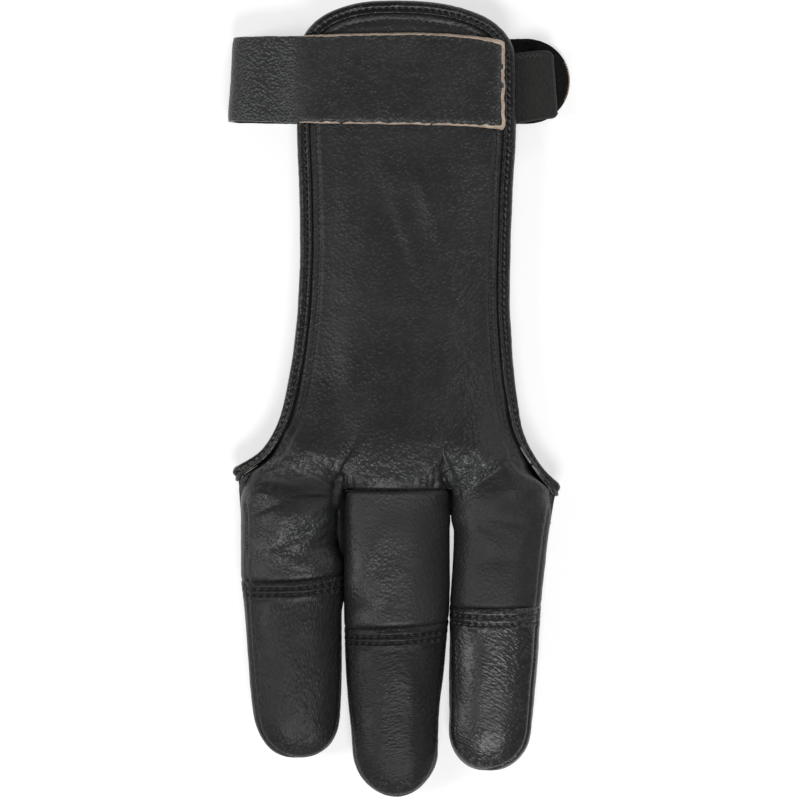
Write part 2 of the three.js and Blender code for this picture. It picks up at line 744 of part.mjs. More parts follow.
function elasticHookPad() {
  const half = elasticWidth / 2 - padMargin;
  const start = elasticReturn + padMargin;
  const stops = spread(start, start + hookLength).map((x) => ({
    x,
    z: hookHeight,
    low: elasticPlace - half,
    high: elasticPlace + half,
  }));
  return ribbonGeometry(stops, hookThickness);
}

// The signed volume says which way the faces turn.
function turnOut(geometry) {
  const { array } = geometry.index;
  const corner = (k) => new THREE.Vector3().fromBufferAttribute(geometry.attributes.position, array[k]);
  let volume = 0;
  for (let k = 0; k < array.length; k += 3) {
    volume += corner(k).dot(corner(k + 1).cross(corner(k + 2)));
  }
  if (volume < 0) {
    for (let k = 0; k < array.length; k += 3) {
      [array[k + 1], array[k + 2]] = [array[k + 2], array[k + 1]];
    }
    geometry.computeVertexNormals();
  }
  return geometry;
}

const finish = (color, roughness) => new THREE.MeshStandardMaterial({ color, roughness, metalness: 0 });

const glove = new THREE.Group();
function add(name, geometry, material) {
  const mesh = new THREE.Mesh(turnOut(geometry), material);
  mesh.name = name;
  glove.add(mesh);
}

add("back_panel", backPanel(), finish(0x313032, 0.55));
add("middle_finger_back", middleFingerBack(), finish(0x363638, 0.55));
add("palm_panel", palmPanel(), finish(0x2c2b2d, 0.6));
add("ring_fingertip_cap", fingertipCap(ring), finish(0x353535, 0.5));
add("middle_fingertip_cap", fingertipCap(middle), finish(0x363636, 0.5));
add("index_fingertip_cap", fingertipCap(index), finish(0x3c3c3c, 0.5));
add("edge_binding", edgeBinding(), finish(0x2a292b, 0.5));
add("wrist_strap", wristStrap(), finish(0x363638, 0.55));
add("strap_loop_pad", strapLoopPad(), finish(0x191916, 0.95));
add("elastic_band", elasticBand(), finish(0x2c2c2b, 0.85));
add("elastic_hook_pad", elasticHookPad(), finish(0x1c1c1c, 0.8));

// The origin is on the surface that the glove lies on, under the middle of its outline.
const box = new THREE.Box3().setFromObject(glove);
const centre = box.getCenter(new THREE.Vector3());
glove.position.set(-centre.x, -centre.y, -box.min.z);

export default glove;
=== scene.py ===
"""A three-finger archery glove of black leather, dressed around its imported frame.

Lengths are millimetres in the glove's own axes until a mesh is made: y = 0 is the knuckle seam, +Y runs to
the wrist, +X to the index finger's side, and z = 0 is the surface that the glove lies on.
"""

import math

import bpy
import numpy as np
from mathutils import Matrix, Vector
from mathutils.bvhtree import BVHTree


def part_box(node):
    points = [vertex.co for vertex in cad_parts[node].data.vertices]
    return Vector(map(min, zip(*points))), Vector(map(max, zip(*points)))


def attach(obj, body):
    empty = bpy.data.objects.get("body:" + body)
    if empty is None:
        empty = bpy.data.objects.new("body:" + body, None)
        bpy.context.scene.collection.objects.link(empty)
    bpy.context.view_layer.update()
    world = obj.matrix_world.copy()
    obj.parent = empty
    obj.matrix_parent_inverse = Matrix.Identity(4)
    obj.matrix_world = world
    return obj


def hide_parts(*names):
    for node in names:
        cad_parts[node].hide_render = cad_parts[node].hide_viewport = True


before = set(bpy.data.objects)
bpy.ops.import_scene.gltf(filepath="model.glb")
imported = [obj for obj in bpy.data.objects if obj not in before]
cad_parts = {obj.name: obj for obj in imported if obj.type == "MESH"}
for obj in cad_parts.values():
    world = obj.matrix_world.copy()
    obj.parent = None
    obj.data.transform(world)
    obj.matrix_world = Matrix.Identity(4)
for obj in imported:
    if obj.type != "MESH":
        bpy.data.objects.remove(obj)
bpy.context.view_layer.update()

# Leather and joints
LEATHER = 1.4
CAP_LEATHER = 1.5
BINDING_LEATHER = 0.9
STRAP_LEATHER = 1.6
CLEARANCE = 0.3

# The back of the glove
BACK_LENGTH = 141
BACK_WIDTH = 58.6
BACK_SHIFT = 1.3
WRIST_HEIGHT = 14.5
ARCH_POWER = 2.2
DOME_HEIGHT = 17.3
DOME_POWER = 2.4
DOME_PEAK_SHARE = 0.435

# The fingers and the knuckles
FINGER_GAP = 0.45
MIDDLE_SHIFT = -0.95
SEAM_HEIGHT = 9.2
SECTION_POWER = 2.25
PALM_FLATNESS = 1.15
CROTCH_DEPTH = 7.5
VALLEY_LENGTH = 9
KNUCKLE_BLEND = 34
FLARE_LENGTH = 14
SLEEVE_OVERLAP = 12
NECK_LENGTH = 1.6
NECK_END = 1.2
NECK_ROWS = 11
SEWN_STEP = 0.42
CROTCH_BLEND = 4
KNUCKLE_SEAM_HALF = 15.6
MIDDLE_START = -0.12
BACK_LOWEST = SEAM_HEIGHT + 0.05
PALM_HIGHEST = SEAM_HEIGHT - 0.02
LOWEST = 0.05
BACK_COLUMNS = 52
PALM_COLUMNS = 44

# Beside the two corners the leather ends in a flat lip: how wide it is, and where along Y it is widest
RING_CORNER_LIP = 2.4
INDEX_CORNER_LIP = 1.9
RING_CORNER_PLACE = 5.0
INDEX_CORNER_PLACE = 1.0

# How far the ring sleeve draws back from the middle finger above its cap
RING_LEAN = 2.3

# How far the flat patch over the index knuckle stands up from the sleeve beside it
FACET_RISE = 0.5
FACET_SLOPE = 0.1

# The palm edge and its binding
LEFT_CORNER = 5
RIGHT_CORNER = 0.5
PALM_BOW = 1.5
PALM_SETTLE = 14
PALM_LIFT = 2.6
BINDING_REACH = 2.4
BINDING_PITCH = 1.95

# How far from the bound edge the stitch row on the binding and the inner row lie
BINDING_ROW = 1.05
INNER_ROW = 4.4

# The black stitches of the caps and the binding
STITCH_LENGTH = 1.35
STITCH_RADIUS = 0.17

# The wrist edge
WRIST_DROP = 1.9

# The wrist strap and its fasteners
STRAP_WIDTH = 25.4
STRAP_END = 30.3
STRAP_REACH = 49.7
STRAP_PLACE = 119.7
STRAP_RADIUS = STRAP_WIDTH * 0.49
STRAP_TOP = WRIST_HEIGHT + CLEARANCE + STRAP_LEATHER / 2
STRAP_LOW = STRAP_LEATHER / 2
FOLD_START = -36
PAD_LEATHER = 1.4
PAD_LENGTH = 62
PAD_MARGIN = 0.8
ELASTIC_WIDTH = 19.8
ELASTIC_THICKNESS = 1.2
ELASTIC_PLACE = 117.2
ELASTIC_REACH = 45.9
ELASTIC_START = 22
ELASTIC_RETURN = 16
HOOK_THICKNESS = 1.2
HOOK_LENGTH = 23
LOOP_HEIGHT = STRAP_LEATHER + CLEARANCE + PAD_LEATHER / 2
HOOK_HEIGHT = LOOP_HEIGHT + PAD_LEATHER / 2 + CLEARANCE + HOOK_THICKNESS / 2


def table(columns, rows):
    """Named columns of a table, as arrays."""
    values = np.array(rows, dtype=float).T
    return dict(zip(columns.split(), values))


# Across the back, by share of its length: flare of each side, sinking of each side, rise of the crown
BACK_SECTIONS = table(
    "at left right low_left low_right rise",
    [
        (0.0, 1.0, 1.0, 1.0, 1.0, 1.0),
        (0.035, 1.0, 0.735, 1.0, 0.72, 1.0),
        (0.054, 0.842, 0.592, 0.75, 0.5, 0.99),
        (0.075, 0.626, 0.463, 0.45, 0.32, 0.97),
        (0.098, 0.495, 0.349, 0.25, 0.2, 0.93),
        (0.14, 0.339, 0.223, 0.08, 0.06, 0.83),
        (0.184, 0.247, 0.164, 0.0, 0.0, 0.72),
        (0.225, 0.184, 0.106, 0.0, 0.0, 0.62),
        (0.307, 0.089, 0.041, 0.0, 0.0, 0.44),
        (0.388, 0.032, 0.0, 0.0, 0.0, 0.3),
        (0.511, 0.0, 0.02, 0.0, 0.0, 0.14),
        (0.633, 0.016, 0.062, 0.0, 0.0, 0.04),
        (0.739, 0.047, 0.12, 0.0, 0.0, 0.0),
        (1.0, 0.047, 0.116, 0.0, 0.0, 0.0),
    ],
)


def finger(width, length, height, tip_length, tip_power, rim, rows):
    """One finger's measures. Its rim is how far the cap starts from the knuckles: left, middle and right."""
    return dict(
        width=width,
        length=length,
        height=height,
        tip_length=tip_length,
        tip_power=tip_power,
        rim=rim,
        sections=table("at left right top", rows),
    )


# Each finger by share of its length: its sides as shares of its width, its top as a share of its height
RING = finger(
    30.6, 78.2, 18.5, 14, 2.4, (26.2, 26.4, 23.4),
    [
        (0.0, -0.5, 0.5, 1.1),
        (0.12, -0.484, 0.48, 1.04),
        (0.3, -0.484, 0.477, 1.02),
        (0.45, -0.448, 0.48, 1.0),
        (0.7, -0.402, 0.474, 0.95),
        (0.85, -0.359, 0.461, 0.9),
        (1.0, -0.317, 0.448, 0.86),
    ],
)
MIDDLE = finger(
    30.1, 89.5, 19.5, 13, 2.0, (39.7, 39.8, 37.4),
    [
        (0.0, -0.5, 0.5, 1.08),
        (0.1, -0.513, 0.507, 1.04),
        (0.3, -0.52, 0.51, 1.0),
        (0.45, -0.513, 0.49, 0.98),
        (0.6, -0.497, 0.447, 0.96),
        (0.8, -0.443, 0.397, 0.9),
        (0.9, -0.427, 0.39, 0.87),
        (1.0, -0.407, 0.377, 0.84),
    ],
)
INDEX = finger(
    30.6, 82, 19, 13, 2.2, (33.2, 34.4, 33.2),
    [
        (0.0, -0.5, 0.5, 1.1),
        (0.09, -0.49, 0.464, 1.05),
        (0.15, -0.467, 0.441, 1.03),
        (0.3, -0.484, 0.392, 1.0),
        (0.42, -0.506, 0.363, 0.98),
        (0.6, -0.51, 0.33, 0.95),
        (0.8, -0.513, 0.284, 0.9),
        (1.0, -0.523, 0.242, 0.85),
    ],
)
FINGERS = [RING, MIDDLE, INDEX]
MIDDLE["x"] = MIDDLE_SHIFT
RING["x"] = MIDDLE_SHIFT - MIDDLE["width"] / 2 - FINGER_GAP - RING["width"] / 2
INDEX["x"] = MIDDLE_SHIFT + MIDDLE["width"] / 2 + FINGER_GAP + INDEX["width"] / 2
KNUCKLE_LEFT = RING["x"] - RING["width"] / 2
KNUCKLE_RIGHT = INDEX["x"] + INDEX["width"] / 2
KNUCKLE_WIDTH = KNUCKLE_RIGHT - KNUCKLE_LEFT
KNUCKLE_HEIGHT = MIDDLE["height"] * MIDDLE["sections"]["top"][0]

# The large folds that the plain solids have too: place, turn in degrees, length and width, and rise
FOLDS = table(
    "x y turn length width rise",
    [
        (-29.5, 11.4, -8, 11.0, 4.0, 1.1),
        (-30.0, 1.4, -5, 14.0, 3.2, -2.3),
        (-30.0, -8.0, 6, 11.0, 3.9, 2.0),
        (-24.4, -17.4, 18, 9.0, 2.1, -1.1),
        (20.0, 12.5, -10, 11.0, 4.0, 1.4),
        (-11.4, 59.2, 82, 34.3, 4.2, 0.6),
        (1.9, 56.4, 86, 28.6, 4.2, -0.5),
    ],
)

# Sharp creases: the leather comes down to each line from both sides
CREASES = table(
    "x y turn length width rise",
    [
        (24.6, 3.6, 38, 8.5, 3.4, -2.6),
        (-33.6, 4.4, 84, 4.5, 1.6, -0.7),
        (-20.4, -16.4, 38, 4.0, 1.6, -0.6),
        (-19.6, 1.4, -46, 4.2, 1.1, -0.7),
        (-20.6, -1.4, -4, 4.2, 1.0, -0.6),
        (-18.6, 4.2, 78, 4.0, 1.2, -0.5),
        (14.4, 4.4, 108, 6.0, 1.5, -0.7),
        (-25.5, 5.6, -28, 6.0, 1.6, -0.5),
        (37.0, 7.0, -30, 7.0, 1.4, -0.4),
    ],
)

# Smaller folds and pinches of the back, only here
SMALL_FOLDS = table(
    "x y turn length width rise",
    [
        (-36.6, 2.6, 78, 3.6, 0.8, -0.7),
        (-40.2, -1.0, 26, 4.0, 1.8, 0.7),
        (-38.5, -5.0, 24, 5.5, 0.9, -0.5),
        (-22.5, -0.6, 4, 6.0, 0.7, -0.7),
        (-21.6, 2.0, -30, 4.5, 0.8, 0.6),
        (-20.6, 4.0, -50, 4.0, 0.6, -0.5),
        (-18.9, -1.6, 80, 4.0, 0.9, -0.9),
        (-33.0, -20.0, -12, 6.5, 1.6, 0.5),
        (-36.5, -13.5, 70, 6.0, 1.4, 0.5),
        (-27.5, -12.8, 22, 7.5, 0.9, -0.5),
        (-23.5, -10.6, 40, 4.5, 1.0, 0.5),
        (-21.5, -13.6, 30, 3.5, 0.8, -0.4),
        (-31.0, 15.0, -34, 7.0, 1.6, 0.35),
        (-24.0, 8.0, -48, 5.0, 1.0, -0.4),
        (-14.0, 9.0, 50, 5.0, 1.6, 0.4),
        (-17.5, 3.5, 62, 4.0, 0.9, -0.5),
        (-9.0, 6.5, 74, 4.0, 1.2, 0.35),
        (4.5, 5.5, 66, 4.5, 1.3, 0.4),
        (9.5, 7.5, 48, 6.0, 1.4, 0.5),
        (13.6, 5.0, 40, 6.5, 1.1, -0.6),
        (17.6, 1.4, 58, 5.0, 1.0, -0.8),
        (16.6, 8.4, 36, 7.5, 1.2, 0.55),
        (20.4, 6.2, 44, 6.0, 0.8, -0.45),
        (29.5, 10.0, 30, 7.0, 1.6, 0.4),
        (36.5, 6.0, -34, 7.0, 1.4, -0.6),
        (39.5, 2.0, -30, 6.0, 1.6, 0.5),
        (27.0, -2.5, 26, 9.0, 2.4, 0.5),
        (31.0, -9.0, -12, 9.0, 1.4, -0.3),
        (22.0, -12.5, -28, 9.0, 2.2, 0.35),
        (28.5, -20.0, 6, 9.0, 2.4, -0.3),
        (34.5, -17.0, 70, 8.0, 1.6, 0.3),
        (-7.0, -16.0, 62, 9.0, 2.2, 0.3),
        (5.0, -22.0, 58, 9.0, 2.4, 0.3),
        (-2.0, -30.0, 50, 8.0, 2.0, -0.25),
        (-5.0, 30.0, 78, 16.0, 3.0, 0.25),
        (6.0, 26.0, 94, 14.0, 3.0, -0.25),
        (14.0, 44.0, 84, 20.0, 3.4, 0.22),
        (-20.0, 38.0, 96, 18.0, 3.2, -0.2),
        (-16.0, 82.0, 88, 14.0, 3.0, 0.2),
        (8.0, 88.0, 92, 12.0, 3.4, 0.2),
        (8.2, 84.0, 111, 13.0, 2.6, 0.5),
        (-3.6, 80.0, 111, 12.0, 2.2, -0.35),
        (1.8, 74.0, 106, 10.0, 2.4, 0.35),
    ],
)

# Where the leather is crumpled into small shiny grain, and painted lighter there as a painted highlight:
# place, turn, reach both ways and strength
CRUMPLES = table(
    "x y turn length width rise",
    [
        (-29.3, 7.6, -8, 9.0, 4.6, 1.25),
        (-40.0, -1.2, 24, 5.0, 2.8, 0.8),
        (-27.5, -10.4, 10, 9.0, 4.0, 1.3),
        (-31.0, -19.6, -8, 8.0, 3.0, 0.6),
        (-12.4, 9.4, 40, 6.5, 4.0, 0.6),
        (-1.5, 4.6, 6, 13.0, 4.6, 0.9),
        (20.0, 8.4, -14, 10.0, 6.5, 0.7),
        (28.0, -10.0, 0, 12.0, 12.0, 0.16),
        (2.0, -20.0, 0, 14.0, 16.0, 0.22),
        (10.0, 20.0, 30, 16.0, 8.0, 0.12),
        (18.5, 46.0, 88, 34.0, 5.0, 0.34),
        (19.5, 88.0, 90, 11.0, 5.0, 0.3),
    ],
)

# The flat shiny patch over the index knuckle, also painted lighter as a painted highlight: its sides, and how
# softly each ends
FACET = [
    ((31.3, 9.0), (17.9, -1.8), 0.7),
    ((17.9, -1.8), (10.3, 14.2), 1.6),
    ((10.3, 14.2), (31.3, 9.0), 4.0),
]

# Where the leather is smooth and matt, and painted darker as painted shade: place, turn, reach both ways and
# strength
DULL_SHADED_PLACES = table(
    "x y turn length width rise",
    [
        (-27.0, 1.2, -5, 14.0, 3.6, 1.0),
        (31.0, -4.0, -40, 8.0, 5.0, 0.6),
        (28.0, -20.0, 0, 13.0, 15.0, 0.6),
        (8.0, -22.0, 0, 7.0, 18.0, 0.6),
        (-3.0, -8.0, 0, 12.0, 6.0, 0.5),
    ],
)

# How the strap's upper run settles on the arched back and over the binding, before it slopes to its fold
STRAP_SETTLING = table(
    "x z",
    [
        (-36, -2.7),
        (-31.5, -1.5),
        (-27, -0.3),
        (-20, -0.45),
        (0, -0.05),
        (18, -0.25),
        (27, -0.62),
        (30.3, -0.8),
    ],
)

# The strap's edges along its path, as shares of its width
STRAP_SECTIONS = table(
    "at low high",
    [
        (0.0, -0.594, 0.433),
        (0.05, -0.555, 0.484),
        (0.13, -0.535, 0.52),
        (0.27, -0.52, 0.504),
        (0.34, -0.508, 0.484),
        (0.44, -0.48, 0.484),
        (0.55, -0.49, 0.49),
        (1.0, -0.49, 0.49),
    ],
)


# Plain functions on arrays


def mix(a, b, t):
    return a + (b - a) * t


def ease(value, low, high):
    t = np.clip((value - low) / (high - low), 0, 1)
    return t * t * (3 - 2 * t)


def bell(distance, width):
    return np.exp(-((distance / width) ** 2))


def read(rows, column, at):
    """A table's column at places between its rows, on a smooth curve that doesn't overshoot."""
    places, values = rows["at"], rows[column]
    spans = np.diff(places)
    grades = np.diff(values) / spans
    product = grades[:-1] * grades[1:]
    total = np.where(product > 0, grades[:-1] + grades[1:], 1)
    inner = np.where(product > 0, 2 * product / total, 0)
    slopes = np.concatenate([grades[:1], inner, grades[-1:]])
    place = np.clip(at, places[0], places[-1])
    i = np.clip(np.searchsorted(places, place) - 1, 0, len(spans) - 1)
    t = (place - places[i]) / spans[i]
    ends = values[i] * (1 + 2 * t) * (1 - t) ** 2 + values[i + 1] * t * t * (3 - 2 * t)
    return ends + spans[i] * (slopes[i] * t * (1 - t) ** 2 - slopes[i + 1] * t * t * (1 - t))


def powered(value, power):
    return np.sign(value) * np.abs(value) ** (2 / power)


def hashed(cell, seed):
    """A steady pseudo-random number from 0 to 1 for each whole-number cell."""
    n = cell[..., 0] * 374761393 + cell[..., 1] * 668265263 + cell[..., 2] * 1442695041 + seed * 97531
    n = (n ^ (n >> 13)) & 0x7FFFFFFF
    n = (n * 1274126177) & 0x7FFFFFFF
    n = (n ^ (n >> 15)) & 0x7FFFFFFF
    n = (n * 668265263) & 0x7FFFFFFF
    return (n ^ (n >> 16)) / 0x7FFFFFFF


def noise(points, seed=0):
    """Smooth noise from about -1 to 1, one cell to a unit."""
    cell = np.floor(points).astype(np.int64)
    part = points - cell
    fade = part**3 * (part * (part * 6 - 15) + 10)
    total = np.zeros(points.shape[:-1])
    for dx in (0, 1):
        for dy in (0, 1):
            for dz in (0, 1):
                corner = np.array([dx, dy, dz])
                turn = hashed(cell + corner, seed) * 2 * np.pi
                lift = hashed(cell + corner, seed + 7) * 2 - 1
                flat = np.sqrt(1 - lift * lift)
                away = part - corner
                level = (away[..., 0] * np.cos(turn) + away[..., 1] * np.sin(turn)) * flat
                slope = level + away[..., 2] * lift
                share = np.abs(1 - corner - fade)
                total += slope * share[..., 0] * share[..., 1] * share[..., 2]
    return total * 1.6


def noise_over(first, second, seed):
    """Noise over two measures, such as the way along a line and the way across it."""
    first, second = np.broadcast_arrays(first, second)
    return noise(np.stack([first, second, 0 * first], axis=-1), seed)


def unit(vectors):
    return vectors / np.linalg.norm(vectors, axis=-1, keepdims=True)


def closed(values):
    """The same values with the first one again at the end."""
    return np.concatenate([values, values[:1]])


def lengths_along(points):
    """How far along an open line each of its points is."""
    return np.concatenate([[0], np.cumsum(np.linalg.norm(np.diff(points, axis=0), axis=1))])


def sampled(values, places, at, period=None):
    """Vectors that are known at some places along a line, at other places between them."""
    return np.stack([np.interp(at, places, column, period=period) for column in values.T], axis=-1)


def nearest(points, line, part=3000):
    """How far points are from the nearest stop of a line, both seen from above."""
    gaps = [
        np.sqrt(((points[k : k + part, None, :2] - line[None, :, :2]) ** 2).sum(-1)).min(axis=1)
        for k in range(0, len(points), part)
    ]
    return np.concatenate(gaps)


def relief(rows, x, y, sharp=False):
    """The height that a table of folds gives at places on the glove. Sharp folds come to a crease."""
    total = np.zeros(np.shape(x))
    for from_x, from_y, turn, length, width, rise in zip(*rows.values()):
        c, s = math.cos(math.radians(turn)), math.sin(math.radians(turn))
        dx, dy = x - from_x, y - from_y
        along = (dx * c + dy * s) / length
        aside = (dy * c - dx * s) / width
        fall = np.sqrt(aside * aside + 0.02) if sharp else aside * aside
        total = total + rise * np.exp(-along * along - fall)
    return total


def facet(x, y):
    """How far places lie on the flat patch over the index knuckle, from 0 to 1."""
    share = 1.0
    for (from_x, from_y), (to_x, to_y), soft in FACET:
        length = math.hypot(to_x - from_x, to_y - from_y)
        inside = ((to_y - from_y) * (x - from_x) - (to_x - from_x) * (y - from_y)) / length
        share = share * ease(inside, 0, soft)
    return share


def crinkle(points, size, turn, stretch, seed):
    """Small sharp-creased grain, drawn out along one direction."""
    c, s = math.cos(math.radians(turn)), math.sin(math.radians(turn))
    x, y, z = points[..., 0], points[..., 1], points[..., 2]
    turned = np.stack([(x * c + y * s) / (size * stretch), (y * c - x * s) / size, z / size], axis=-1)
    bend = noise(turned * 0.45, seed + 3)
    turned[..., 1] += bend * 0.9
    return 0.5 - np.abs(noise(turned, seed)) * 1.6


# The glove's form


def back_span(y):
    """The back across one place: its left and right X, the height of each side, and that of the crown."""
    at = y / BACK_LENGTH
    waist_left, waist_right = BACK_SHIFT - BACK_WIDTH / 2, BACK_SHIFT + BACK_WIDTH / 2
    edge = WRIST_HEIGHT - WRIST_DROP
    seam = SEAM_HEIGHT + CLEARANCE / 2
    return (
        mix(waist_left, KNUCKLE_LEFT, read(BACK_SECTIONS, "left", at)),
        mix(waist_right, KNUCKLE_RIGHT, read(BACK_SECTIONS, "right", at)),
        mix(edge, seam, read(BACK_SECTIONS, "low_left", at)),
        mix(edge, seam, read(BACK_SECTIONS, "low_right", at)),
        mix(WRIST_HEIGHT, KNUCKLE_HEIGHT, read(BACK_SECTIONS, "rise", at)),
    )


def finger_span(one, y):
    """The left and right X of a finger, or of its stretch of the back."""
    at = -y / one["length"]
    left = one["x"] + one["width"] * read(one["sections"], "left", at)
    right = one["x"] + one["width"] * read(one["sections"], "right", at)
    back_left, back_right = back_span(np.maximum(y, 0))[:2]
    on_back = [mix(back_left, back_right, (x - KNUCKLE_LEFT) / KNUCKLE_WIDTH) for x in (left, right)]
    return np.where(y <= 0, left, on_back[0]), np.where(y <= 0, right, on_back[1])


def top_of(one, y):
    return one["height"] * read(one["sections"], "top", -y / one["length"])


def rim_at(one, across):
    """The Y at which the finger's cap starts."""
    left, middle, right = one["rim"]
    bulge = middle - (left + right) / 2
    return -(mix(left, right, across) + bulge * 4 * across * (1 - across))


def neck_at(one, across, y):
    """How far the sleeve draws in at the cap's rim, first to a pressed step and then to fit inside."""
    before = y - rim_at(one, across)
    pressed = SEWN_STEP * (1 - ease(before, 0, NECK_LENGTH))
    pressed = pressed + 0.4 * bell(before - 0.1, 0.35)
    return mix(pressed, CAP_LEATHER + CLEARANCE + 0.1, 1 - ease(before, -NECK_END, 0))


def is_outer(one, side):
    return (one is RING and side == "left") or (one is INDEX and side == "right")


def low_side(one, side, y):
    """The height of one side of a finger's back half."""
    span = back_span(np.maximum(y, 0))
    if is_outer(one, side):
        return span[2] if side == "left" else span[3]
    over = SEAM_HEIGHT + LEATHER + CLEARANCE
    crest = np.minimum(top_of(one, y), span[4])
    sunk = mix(crest, over, ease(-y, -VALLEY_LENGTH, CROTCH_DEPTH))
    settled = mix(over, SEAM_HEIGHT + CLEARANCE / 2, ease(-y, CROTCH_DEPTH, CROTCH_DEPTH + CROTCH_BLEND))
    return np.where(y < -CROTCH_DEPTH, settled, sunk)


def palm_floor(y):
    return PALM_LIFT * (1 - ease(LEFT_CORNER - y, 0, PALM_SETTLE))


def palm_edge(share):
    return mix(LEFT_CORNER, RIGHT_CORNER, share) + PALM_BOW * np.sin(np.pi * share)


def high_side(one, side, y):
    """The height of one side of a finger's palm half."""
    plain = np.full(np.shape(y), SEAM_HEIGHT - CLEARANCE / 2)
    if is_outer(one, side):
        return plain
    under = SEAM_HEIGHT - LEATHER - CLEARANCE
    start = palm_edge(0.5) - BINDING_REACH - CLEARANCE
    webbed = mix(palm_floor(y), under, ease(start - y, 0, start + CROTCH_DEPTH))
    settled = mix(under, plain, ease(-y, CROTCH_DEPTH, CROTCH_DEPTH + CROTCH_BLEND))
    return np.where(y < -CROTCH_DEPTH, settled, webbed)


def tube_point(one, across, y, on_back, neck=0.0):
    """A place on a finger's outline, on its back or its palm side, across it from 0 to 1."""
    open_share = np.clip((y + one["length"]) / one["tip_length"], 0, 1)
    tip = (1 - (1 - open_share) ** one["tip_power"]) ** (1 / one["tip_power"])
    left, right = finger_span(one, y)
    outwards, lip, lip_place, fuller = 0, 0.0, 0.0, 0.0
    if one is RING:
        outwards, lip, lip_place = 1 - 2 * across, RING_CORNER_LIP, RING_CORNER_PLACE
        # Below the knuckles the ring sleeve lies against the middle one, and its back leans away from it.
        beside = finger_span(MIDDLE, y)[0] + 0.22
        right = mix(right, beside, ease(-y, 5, 8) * (1 - ease(-y, 31, 36)))
        right = right - RING_LEAN * on_back * ease(-y, 3, 8) * (1 - ease(-y, 14, 22))
    elif one is INDEX:
        outwards, lip, lip_place = 2 * across - 1, INDEX_CORNER_LIP, INDEX_CORNER_PLACE
    else:
        fuller = 1.9 * on_back * (across < 0.5) * (1 - ease(-y, 26, 36))
    centre = (left + right) / 2
    half = np.maximum((right - left) / 2 * tip - neck * mix(0.2, 1.0, ease(neck, 0.85, 1.3)), 0)
    turn = np.pi * across
    x = centre - half * powered(np.cos(turn), SECTION_POWER + fuller)
    bulge = powered(np.sin(turn), SECTION_POWER + fuller)
    near_corner = on_back * (outwards > 0) * bell(y - lip_place, 5.5)
    lip = np.minimum(lip * near_corner, half * 0.5)
    power = SECTION_POWER - 0.5 * near_corner * np.clip(outwards, 0, 1)
    inside = (half - np.abs(x - centre) - lip) / np.maximum(half - lip, 1e-6)
    lipped = (1 - (1 - np.clip(inside, 0, 1)) ** power) ** (1 / power)
    bulge = np.where(lip > 0.01, lipped, bulge)
    low = mix(low_side(one, "left", y), low_side(one, "right", y), across)
    top = SEAM_HEIGHT + (top_of(one, y) - SEAM_HEIGHT) * tip - neck
    high = mix(high_side(one, "left", y), high_side(one, "right", y), across)
    bottom = SEAM_HEIGHT - (SEAM_HEIGHT - palm_floor(y)) * tip + neck
    over = low + (top - low) * bulge
    under = np.maximum(bottom, high - (high - bottom) * PALM_FLATNESS * bulge)
    z = np.where(on_back, over, under)
    return np.stack(np.broadcast_arrays(x, y, z), axis=-1)


def back_point(one, across, y):
    """A place on the outer face of the back, on the stretch of it that belongs to one finger."""
    tube = tube_point(one, across, y, True, neck_at(one, across, y))
    hump = np.sin(np.pi * across)
    y_on = np.maximum(y, 0)
    left, right, low_left, low_right, crown = back_span(y_on)
    from_x, to_x = finger_span(one, y_on)
    x = mix(from_x, to_x, across)
    share = (x - left) / (right - left)
    edge = mix(low_left, low_right, share)
    arch = 1 - np.abs(2 * share - 1) ** ARCH_POWER
    blend = np.where(y > 0, 1 - ease(y_on, 0, KNUCKLE_BLEND), 1)
    outwards = 0 if one is MIDDLE else (1 - across if one is RING else across)
    flare = np.clip(2 * outwards, 0, 1) * ease(y_on, 0, FLARE_LENGTH)
    px = mix(x, tube[..., 0], blend)
    px = np.where(y > 0, mix(px, x, flare), px)
    pz = mix(edge + (crown - edge) * arch, tube[..., 2], blend)
    pz = pz + relief(FOLDS, px, y) * mix(arch, hump, blend)
    return np.stack([px, y + 0 * px, pz], axis=-1)


def palm_point(one, across, y):
    return tube_point(one, across, y, False, neck_at(one, across, y))


def share_of(one, across):
    """The share of the whole width at which a place across one finger lies."""
    left, right = finger_span(one, np.array(0.0))
    return (mix(left, right, across) - KNUCKLE_LEFT) / KNUCKLE_WIDTH


DOME_START = BACK_LENGTH - DOME_HEIGHT
STRAIGHT_END = STRAP_PLACE - STRAP_WIDTH * 0.6


def dome_at(share):
    """The Y of the rounded wrist edge."""
    reach = np.where(share < DOME_PEAK_SHARE, DOME_PEAK_SHARE, 1 - DOME_PEAK_SHARE)
    aside = np.minimum(np.abs(share - DOME_PEAK_SHARE) / reach, 1)
    return DOME_START + DOME_HEIGHT * (1 - aside**DOME_POWER) ** (1 / DOME_POWER)


def on_columns(function, shares, y):
    """Points of the back or the palm at shares of the whole width."""
    points = np.zeros(np.shape(shares) + (3,))
    for one in FINGERS:
        start, end = share_of(one, 0.0), share_of(one, 1.0)
        mine = (shares >= start - 0.003) & (shares < end + 0.003)
        across = np.clip((shares[mine] - start) / (end - start), 0, 1)
        points[mine] = function(one, across, y[mine])
    return points


# Meshes from arrays


def grid_quads(rows, columns, cut=None, wraps=False):
    cells = columns if wraps else columns - 1
    row, column = np.meshgrid(np.arange(rows - 1), np.arange(cells), indexing="ij")
    after = (column + 1) % columns
    quads = np.stack([row * columns + column, row * columns + after, (row + 1) * columns + after,
                      (row + 1) * columns + column], axis=-1)
    kept = np.ones(row.shape, dtype=bool) if cut is None else ~cut
    return quads[kept].reshape(-1, 4)


def corner_normals(points, quads):
    across = points[quads[:, 2]] - points[quads[:, 0]]
    along = points[quads[:, 3]] - points[quads[:, 1]]
    faces = np.cross(across, along)
    normals = np.zeros_like(points)
    for k in range(4):
        np.add.at(normals, quads[:, k], faces)
    length = np.linalg.norm(normals, axis=1, keepdims=True)
    return normals / np.maximum(length, 1e-9)


